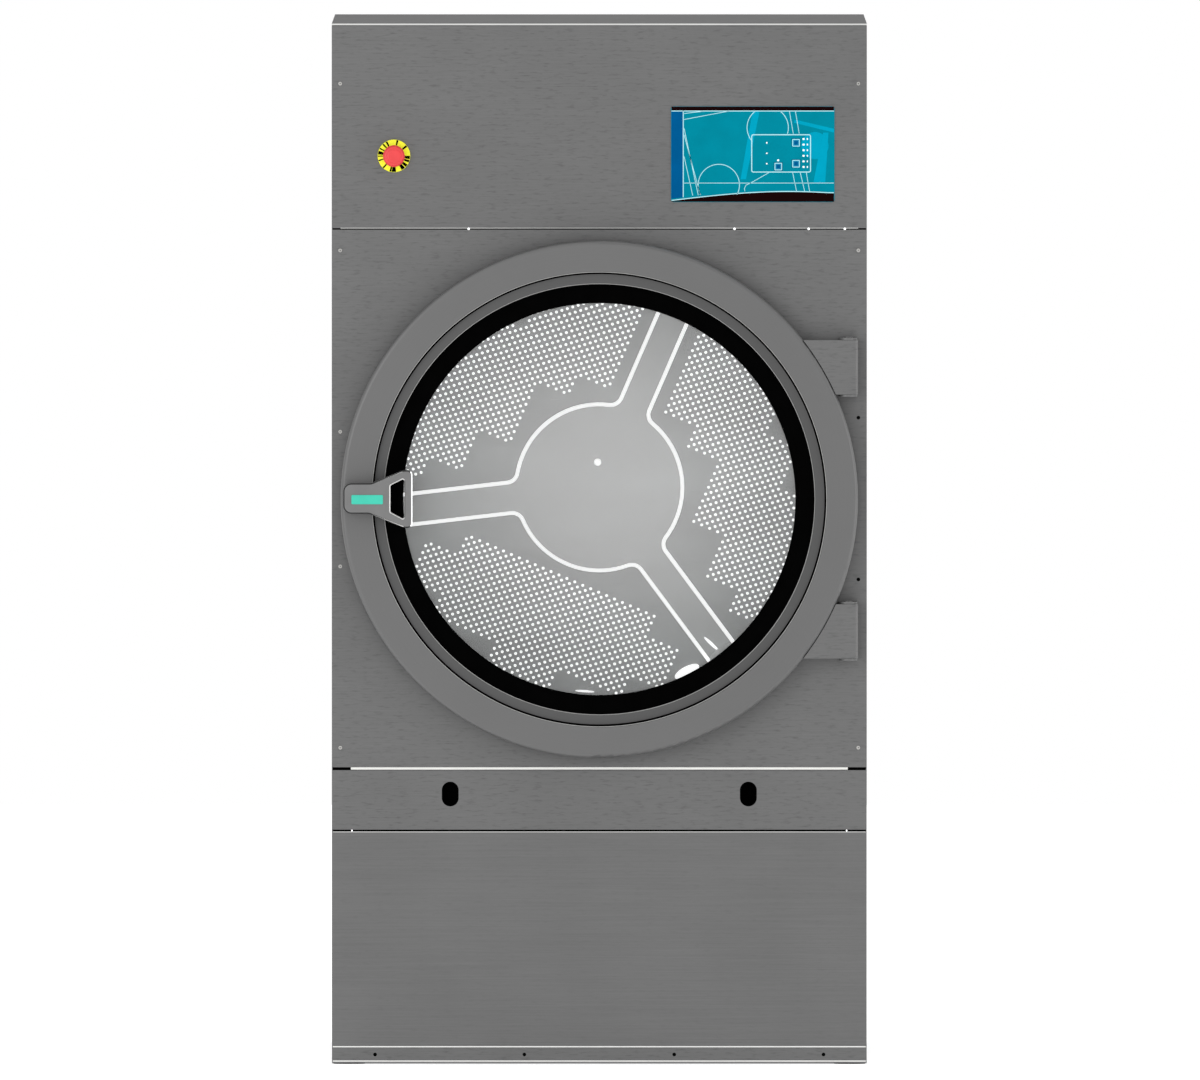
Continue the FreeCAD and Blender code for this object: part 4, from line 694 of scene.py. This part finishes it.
def make_stop_marks():
    """Dark radial bars printed on the yellow stop plate: the middle angle and width of each."""
    low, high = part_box("estop_ring")
    x, z = (low.x + high.x) / 2, (low.z + high.z) / 2
    bars = []
    for middle, wide in STOP_BARS:
        outer = arc(x, z, BAR_OUTER, middle - wide / 2, middle + wide / 2, 4)
        inner = arc(x, z, BAR_INNER, middle - wide / 2, middle + wide / 2, 4)
        bars.append(outer + inner[::-1])
    plates("stop_plate_marks", bars, low.y - 2 * INK, 4 * INK, "cabinet", "stop_yellow", ink_and_shade_black)


def make_stop_dish():
    """The shallow ring pressed into the stop button's face."""
    low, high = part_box("estop_head")
    x, z = (low.x + high.x) / 2, (low.z + high.z) / 2
    section = [(0.0122, 0.0), (0.0130, -0.0004), (0.0138, 0.0), (0.0138, 0.0008), (0.0122, 0.0008)]
    red = FINISHES["stop_red"]
    turned("stop_button_ring", section, x, low.y + 0.0006, z, "stop_head", "stop_red", red)


# ---------------------------------------------------------------- panel seams
SEAM_INSET = 0.0015
FASCIA_INSET = 0.016
FASCIA_GAP_END = 0.017
GAP_GLINT_X = 0.4555
GAP_GLINT_HALF = 0.0012
FASCIA_GLINTS = (-0.2405, 0.249, 0.3855, 0.452)
GLINT_DOT_RADIUS = 0.0021
GAP_FRONT = 0.002
GAP_BACK = 0.004
GAP_CLEAR = 0.0001


def bead(name, left, right, z, tall, material, deep=0.0012, proud=0.0002):
    """A rounded line along a folded panel edge, coloured as a painted highlight."""
    form = bmesh.new()
    add_box(form, (left, FRONT - proud, z), (right, FRONT + deep, z + tall), min(tall, deep) * 0.3)
    new_piece(name, mesh_of(form, name), "cabinet", "panel_paint", material)


def make_seams():
    """Painted highlights along the folded edges, and painted shade and painted glints in the gaps between
    the front panels.
    """
    fascia_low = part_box("control_fascia")[0].z
    surround_low, surround_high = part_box("door_surround")
    service_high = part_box("service_panel")[1]
    drawer_low, drawer_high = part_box("drawer_front")
    strip_low, strip_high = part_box("base_frame")
    seal_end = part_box("drawer_seal")[1].x
    inner = HALF - SEAM_INSET
    fascia_end = HALF - FASCIA_INSET
    # painted highlights: bright strips under the fascia and over the service panel
    bead("seam_fascia", -fascia_end, fascia_end, fascia_low - 0.0006, 0.0012, painted_edge_highlight)
    bead("seam_service", -inner, inner, service_high.z - 0.0014, 0.0014, painted_edge_highlight)
    # painted highlights: pale strips along the base strip's top and its hem
    bead("seam_base", -inner, inner, strip_high.z - 0.0002, 0.0026, painted_pale_highlight)
    bead("hem_base", -inner, inner, strip_low.z + 0.0022, 0.0026, painted_pale_highlight)
    for side in (-1, 1):
        name = "left" if side < 0 else "right"
        ends = sorted((side * inner, side * (HALF - FASCIA_GAP_END)))
        # painted shade: dark strips at the ends of the fascia and drawer gaps
        gap("gap_fascia_" + name, *ends, surround_high.z, fascia_low)
        ends = sorted((side * inner, side * seal_end))
        gap("gap_drawer_" + name, *ends, drawer_high.z, surround_low.z)
        # painted glints: glowing ticks in the drawer gap
        left = side * GAP_GLINT_X - GAP_GLINT_HALF
        right = side * GAP_GLINT_X + GAP_GLINT_HALF
        bead("gap_glint_tick_" + name, left, right, service_high.z + 0.0002, 0.0032, glowing_highlight)
    # painted shade: a dark strip along the service gap
    gap("gap_service", -inner, inner, service_high.z, drawer_low.z)
    # painted glints: glowing dots in the fascia gap
    glint_dots = [disc(x, fascia_low - 0.0013, GLINT_DOT_RADIUS, 16) for x in FASCIA_GLINTS]
    plates("fascia_glint_dots", glint_dots, FRONT - 0.0003, 0.002, "cabinet", "panel_paint", glowing_highlight)


def gap(name, left, right, low, high):
    """A dark strip set back in the slot between two panels: painted shade."""
    form = bmesh.new()
    near = (left, FRONT + GAP_FRONT, low + GAP_CLEAR)
    far = (right, FRONT + GAP_BACK, high - GAP_CLEAR)
    add_box(form, near, far)
    new_piece(name, mesh_of(form, name), "cabinet", "black_rubber", ink_and_shade_black)


# ---------------------------------------------------------------- door, screws and back
RING_STEP = 0.418
SEAL_EDGE = 0.396
RING_STEPS = 160
SCREW_X = 0.477
FRONT_SCREWS = (
    (-1, 1.806), (-1, 1.499), (-1, 1.165), (-1, 0.917), (-1, 0.583),
    (1, 1.806), (1, 1.499), (1, 0.583),
)
OPEN_HOLES = (
    (SCREW_X, 1.191), (SCREW_X, 0.893),
    (-0.413, 0.0177), (-0.138, 0.0177), (0.138, 0.0177), (0.413, 0.0177),
)
OPEN_HOLE_RADIUS = 0.0034
REAR_SCREWS = 6
REAR_SCREW_X = 0.472
REAR_MARGIN = 0.03


def turned(name, outline, x, y, z, body, slot, material, steps=48):
    form = bmesh.new()
    add_turned(form, outline, x, y, z, steps)
    new_piece(name, mesh_of(form, name, True), body, slot, material)


def make_door_lines():
    """The lip of the door ring and the lip that holds the seal, coloured as painted highlights, and a black
    ring under the first lip as a painted shadow.
    """
    ring_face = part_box("door_ring")[0].y
    recess_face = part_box("door_inner_ring")[0].y
    lip = [
        (RING_STEP, -0.0002),
        (RING_STEP + 0.0009, -0.0004),
        (RING_STEP + 0.0010, 0.002),
        (RING_STEP, 0.003),
    ]
    # painted highlight: the pale door ring lip
    turned("door_ring_lip", lip, 0, ring_face, DRUM_Z, "door", "panel_paint", painted_lip_highlight, RING_STEPS)
    # painted shadow: a black ring under the lip
    inside = RING_STEP - 0.0034
    shadow_section = [(inside, -0.0002), (RING_STEP, -0.0002), (RING_STEP, 0.001), (inside, 0.001)]
    turned("door_ring_shadow_line", shadow_section, 0, recess_face, DRUM_Z, "door", "black_rubber", ink_and_shade_black, RING_STEPS)
    # painted highlight: the pale lip by the seal
    inside, outside = SEAL_EDGE + 0.0004, SEAL_EDGE + 0.0014
    hold = [(inside, -0.001), (outside, -0.0008), (outside, 0.001), (inside, 0.001)]
    turned("door_seal_lip", hold, 0, recess_face, DRUM_Z, "door", "panel_paint", painted_lip_highlight, RING_STEPS)


def dress_handle():
    """Painted highlights on the handle's heel and round the finger opening; painted shade on the rounded
    outer edge.
    """
    low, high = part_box("door_handle")
    middle = (low.z + high.z) / 2
    grip_edge_shade = make_plastic("handle_edge_painted_shade", shade(46, 46, 46), 0.6, Specular_IOR_Level=0.05)

    def rounded(face):
        return -0.93 < face.normal.y < -0.12

    def in_opening(face):
        place = face.center
        return low.x + 0.081 < place.x < high.x - 0.0085 and abs(place.z - middle) < 0.0435

    def opening(face):
        turned_in = face.normal.x > 0.3 or abs(face.normal.z) > 0.45
        return rounded(face) and in_opening(face) and turned_in and face.center.x < high.x - 0.012

    def heel(face):
        return face.center.x > high.x - 0.0035 and -0.85 < face.normal.y < 0.5

    # painted shade on the rounded outer edge, painted highlights round the opening, and a glowing heel
    dress_faces("door_handle", grip_edge_shade, lambda face: rounded(face) and not in_opening(face))
    dress_faces("door_handle", painted_pale_highlight, opening)
    dress_faces("door_handle", glowing_highlight, heel)


def cross_recess(x, z, half=0.0015, wide=0.0005):
    """The two slots of a cross-head screw."""
    bar = rounded_box(x - half, x + half, z - wide / 2, z + wide / 2, wide * 0.4, 2)
    post = rounded_box(x - wide / 2, x + wide / 2, z - half, z + half, wide * 0.4, 2)
    return bar, post


def make_screw_details():
    """Black cross slots on each front screw and black discs on the holes that have no screw: painted shade
    in the recesses.
    """
    bars, posts = [], []
    for side, z in FRONT_SCREWS:
        bar, post = cross_recess(side * SCREW_X, z)
        bars.append(bar)
        posts.append(post)
    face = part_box("panel_screws")[0].y
    # painted shade: black cross slots
    plates("screw_slots", bars, face - INK, 2 * INK, "cabinet", "screw_steel", ink_and_shade_black)
    plates("screw_posts", posts, face - 1.5 * INK, 2 * INK, "cabinet", "screw_steel", ink_and_shade_black)
    # painted shade: black discs in the open holes
    holes = [disc(x, z, OPEN_HOLE_RADIUS, 20) for x, z in OPEN_HOLES]
    plates("open_holes", holes, FRONT - 0.00008, 0.0002, "cabinet", "panel_paint", ink_and_shade_black)


def make_rear_details():
    """Screws round the back panel, and a flange and a bead on the outlet."""
    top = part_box("rear_panel")[1].z
    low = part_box("rear_panel")[0].z
    spots = []
    for step in range(REAR_SCREWS):
        z = low + REAR_MARGIN + (top - low - 2 * REAR_MARGIN) * step / (REAR_SCREWS - 1)
        spots += [(-REAR_SCREW_X, z), (REAR_SCREW_X, z)]
    for x in (-REAR_SCREW_X / 2, 0, REAR_SCREW_X / 2):
        spots += [(x, low + REAR_MARGIN), (x, top - REAR_MARGIN)]
    form = bmesh.new()
    head = [
        (0.0009, 0.0012), (0.0028, 0.0028), (0.0046, 0.0024),
        (0.0062, 0.0012), (0.0066, 0.0), (0.0009, 0.0),
    ]
    for x, z in spots:
        add_turned(form, head, x, REAR, z, 20)
    new_piece("rear_screws", mesh_of(form, "rear_screws"), "cabinet", "screw_steel", pin_steel)
    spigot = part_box("exhaust_duct")
    x, z = (spigot[0].x + spigot[1].x) / 2, (spigot[0].z + spigot[1].z) / 2
    zinc = FINISHES["galvanised"]
    ridge = [(0.0999, -0.004), (0.1024, -0.0026), (0.1034, 0), (0.1024, 0.0026), (0.0999, 0.004)]
    turned("outlet_bead", ridge, x, spigot[1].y - 0.014, z, "cabinet", "galvanised", zinc, 64)
    flange = [
        (0.1002, 0.0), (0.118, 0.0), (0.1185, 0.0012),
        (0.1165, 0.002), (0.104, 0.002), (0.1002, 0.006),
    ]
    turned("outlet_flange", flange, x, REAR, z, "cabinet", "galvanised", zinc, 64)


SLOT_STARTS = (-0.215, -0.005)
SLOT_WIDE = 0.190
SLOT_LOW = 1.560
SLOT_STEP = 0.022
SLOT_TALL = 0.009
SLOT_ROWS = 9
HOOD_OUTER = 0.0065
HOOD_INNER = 0.0055
HOOD_DROP = 0.0045
HOOD_LAP = 0.003


def add_run(form, outline, left, right):
    """A bar along X from a closed (y, z) outline."""
    near = [form.verts.new((left, y, z)) for y, z in outline]
    far = [form.verts.new((right, y, z)) for y, z in outline]
    form.faces.new(near)
    form.faces.new(list(reversed(far)))
    for index in range(len(outline)):
        after = (index + 1) % len(outline)
        form.faces.new((near[index], far[index], far[after], near[after]))


def make_slot_hoods():
    """A pressed hood that sheds water over each air slot."""
    form = bmesh.new()
    for start in SLOT_STARTS:
        for row in range(SLOT_ROWS):
            top = SLOT_LOW + SLOT_STEP * row + SLOT_TALL
            outer, inner = [], []
            for step in range(7):
                turn = math.radians(90 - 75 * step / 6)
                for side, radius in ((outer, HOOD_OUTER), (inner, HOOD_INNER)):
                    z = top - HOOD_DROP + radius * math.sin(turn)
                    side.append((REAR + radius * math.cos(turn), z))
            add_run(form, outer + inner[::-1], start - HOOD_LAP, start + SLOT_WIDE + HOOD_LAP)
    new_piece("slot_hoods", mesh_of(form, "slot_hoods"), "cabinet", "galvanised", FINISHES["galvanised"])


MESH_PITCH = 0.006
WIRE = 0.0004
SCREEN_BORDER = 0.012
SCREEN_RIBS = (-0.144, 0.132)


def make_lint_mesh():
    """Crossed wires over the lint screen, with a raised border and two ribs."""
    low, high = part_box("lint_screen")
    form = bmesh.new()
    count = int((high.x - low.x) / MESH_PITCH)
    for step in range(1, count):
        x = low.x + step * MESH_PITCH
        add_box(form, (x - WIRE, low.y, high.z), (x + WIRE, high.y, high.z + 0.0006))
    count = int((high.y - low.y) / MESH_PITCH)
    for step in range(1, count):
        y = low.y + step * MESH_PITCH
        add_box(form, (low.x, y - WIRE, high.z + 0.0002), (high.x, y + WIRE, high.z + 0.0008))
    new_piece("lint_wires", mesh_of(form, "lint_wires"), "drawer", "drum_steel", FINISHES["screw_steel"])
    form = bmesh.new()
    rise = high.z + 0.002
    add_box(form, (low.x, low.y, high.z), (high.x, low.y + SCREEN_BORDER, rise), 0.0006)
    add_box(form, (low.x, high.y - SCREEN_BORDER, high.z), (high.x, high.y, rise), 0.0006)
    for x in (low.x, *SCREEN_RIBS, high.x - SCREEN_BORDER):
        add_box(form, (x, low.y, high.z), (x + SCREEN_BORDER, high.y, rise), 0.0006)
    new_piece("lint_border", mesh_of(form, "lint_border"), "drawer", "drum_steel", FINISHES["galvanised"])
    NODES["lint_screen"].data.materials[0] = FINISHES["belt_rubber"]


HUB_GLINT_RISE = 0.047
HUB_GLINT_X = -0.003
GLINT_THICK = 0.0115
# each glint oval: x, height over the axle, lean in degrees, half length and half width
GLINT_OVALS = (
    (0.163, -0.3425, 27, 0.025, 0.0095),
    (0.208, -0.2905, -43, 0.018, 0.0028),
    (-0.027, -0.379, -4, 0.018, 0.0018),
)


def make_drum_details():
    """A small glowing dome on the star's hub and three glowing ovals at the foot of one arm: painted glints.
    """
    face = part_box("drum_star")[0].y
    button = [(0, -0.003), (0.0038, -0.0025), (0.0062, -0.001), (0.0068, 0.0004), (0, 0.0004)]
    glint_z = DRUM_Z + HUB_GLINT_RISE
    # painted glint: a glowing dome on the hub
    turned("hub_glint_dome", button, HUB_GLINT_X, face, glint_z, "drum", "drum_steel", glowing_highlight, 24)
    form = bmesh.new()
    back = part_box("drum_back")[0].y
    for x, rise, lean, long, wide in GLINT_OVALS:
        angle = math.radians(lean)
        outline = []
        for step in range(24):
            turn = 2 * math.pi * step / 24
            along, across = long * math.cos(turn), wide * math.sin(turn)
            outline.append((x + along * math.cos(angle) - across * math.sin(angle),
                            DRUM_Z + rise + along * math.sin(angle) + across * math.cos(angle)))
        # painted glints: glowing ovals on the drum back
        add_prism(form, outline, back - GLINT_THICK, GLINT_THICK)
    new_piece("painted_glint_ovals", mesh_of(form, "painted_glint_ovals"), "drum", "drum_steel", glowing_highlight)


# ---------------------------------------------------------------- light, floor and camera
LENS = 1400
SENSOR = 36
VIEW_WIDE = 2.2095
AIM = Vector((0.0013, FRONT, 0.9656))
ELEVATION = math.radians(1.555)


def make_camera():
    """A very long lens that looks at the front from slightly above."""
    data = bpy.data.cameras.new("camera")
    data.lens = LENS
    data.sensor_width = SENSOR
    distance = VIEW_WIDE * LENS / SENSOR
    back = Vector((0, -math.cos(ELEVATION), math.sin(ELEVATION)))
    camera = bpy.data.objects.new("camera", data)
    camera.location = AIM + back * distance
    camera.rotation_mode = "QUATERNION"
    camera.rotation_quaternion = (-back).to_track_quat("-Z", "Y")
    data.clip_start, data.clip_end = 1.0, 4 * distance
    bpy.context.scene.collection.objects.link(camera)
    bpy.context.scene.camera = camera


def make_floor():
    """A plain pale floor, slightly lit from itself so that it stays white."""
    mesh = bpy.data.meshes.new("floor")
    reach = 14.0
    corners = [(-reach, -reach, 0), (reach, -reach, 0), (reach, reach, 0), (-reach, reach, 0)]
    mesh.from_pydata(corners, [], [(0, 1, 2, 3)])
    paper = Finish("floor_paper", shade(250, 250, 250), 0.9, 0.0, Specular_IOR_Level=0.0)
    cloud = paper.noise(paper.place, 1.5, 3.0)
    paper.paint(paper.tint(cloud, 0.99, 1.0))
    paper.shader.inputs["Emission Color"].default_value = (1, 1, 1, 1)
    paper.shader.inputs["Emission Strength"].default_value = 0.4
    mesh.materials.append(paper.material)
    floor = bpy.data.objects.new("floor", mesh)
    bpy.context.scene.collection.objects.link(floor)


def area_light(name, spot, target, size, power, size_y=None, seen=False):
    data = bpy.data.lights.new(name, "AREA")
    data.energy = power
    data.size = size
    if size_y is None:
        data.shape = "DISK"
    else:
        data.shape = "RECTANGLE"
        data.size_y = size_y
    light = bpy.data.objects.new(name, data)
    light.location = spot
    light.rotation_mode = "QUATERNION"
    light.rotation_quaternion = (Vector(target) - Vector(spot)).to_track_quat("-Z", "Y")
    light.visible_camera = seen
    bpy.context.scene.collection.objects.link(light)


def make_light():
    """An even white room, a soft box on each side and two lamps that show the drum's inside."""
    world = bpy.data.worlds.new("room")
    world.use_nodes = True
    background = world.node_tree.nodes["Background"]
    background.inputs["Color"].default_value = (1, 1, 1, 1)
    background.inputs["Strength"].default_value = 1.0
    bpy.context.scene.world = world
    area_light("key", (-2.6, -4.4, 2.0), (0, 0, 1.0), 1.6, 42, 2.2)
    area_light("side_strip", (3.6, -2.2, 1.4), (0.2, -0.5, 1.0), 0.5, 25, 2.4)
    area_light("drum_front_lamp", (0, -0.46, DRUM_Z), (0, 1, DRUM_Z), 0.5, 0.33)
    area_light("drum_back_lamp", (0, 0.300, DRUM_Z), (0, -1, DRUM_Z), 0.84, 1.7, seen=True)


def main():
    dress_nodes()
    dress_star()
    dress_faces("top_panel", panel_top, lambda face: abs(face.normal.z) > 0.7)
    # painted highlight: the top panel's front faces are bright along the fold
    dress_faces("top_panel", painted_edge_highlight, lambda face: face.normal.y < -0.9)
    NODES["door_ring"].data.materials[0] = panel_ring
    # painted shade: the recessed inner ring is darker
    NODES["door_inner_ring"].data.materials[0] = shaded_recess_ring
    NODES["service_panel"].data.materials[0] = panel_smooth
    # black plastic cups made blacker still: painted shade in the cups
    NODES["finger_cups"].data.materials[0] = ink_and_shade_black
    NODES["hinge_pins"].data.materials[0] = pin_steel
    dress_handle()
    make_drum_back()
    make_drum_details()
    make_overlay_art()
    make_stop_marks()
    make_stop_dish()
    make_seams()
    make_door_lines()
    make_screw_details()
    make_rear_details()
    make_slot_hoods()
    make_lint_mesh()
    make_camera()
    make_floor()
    make_light()


main()
look = bpy.context.scene.view_settings
look.view_transform = "Standard"
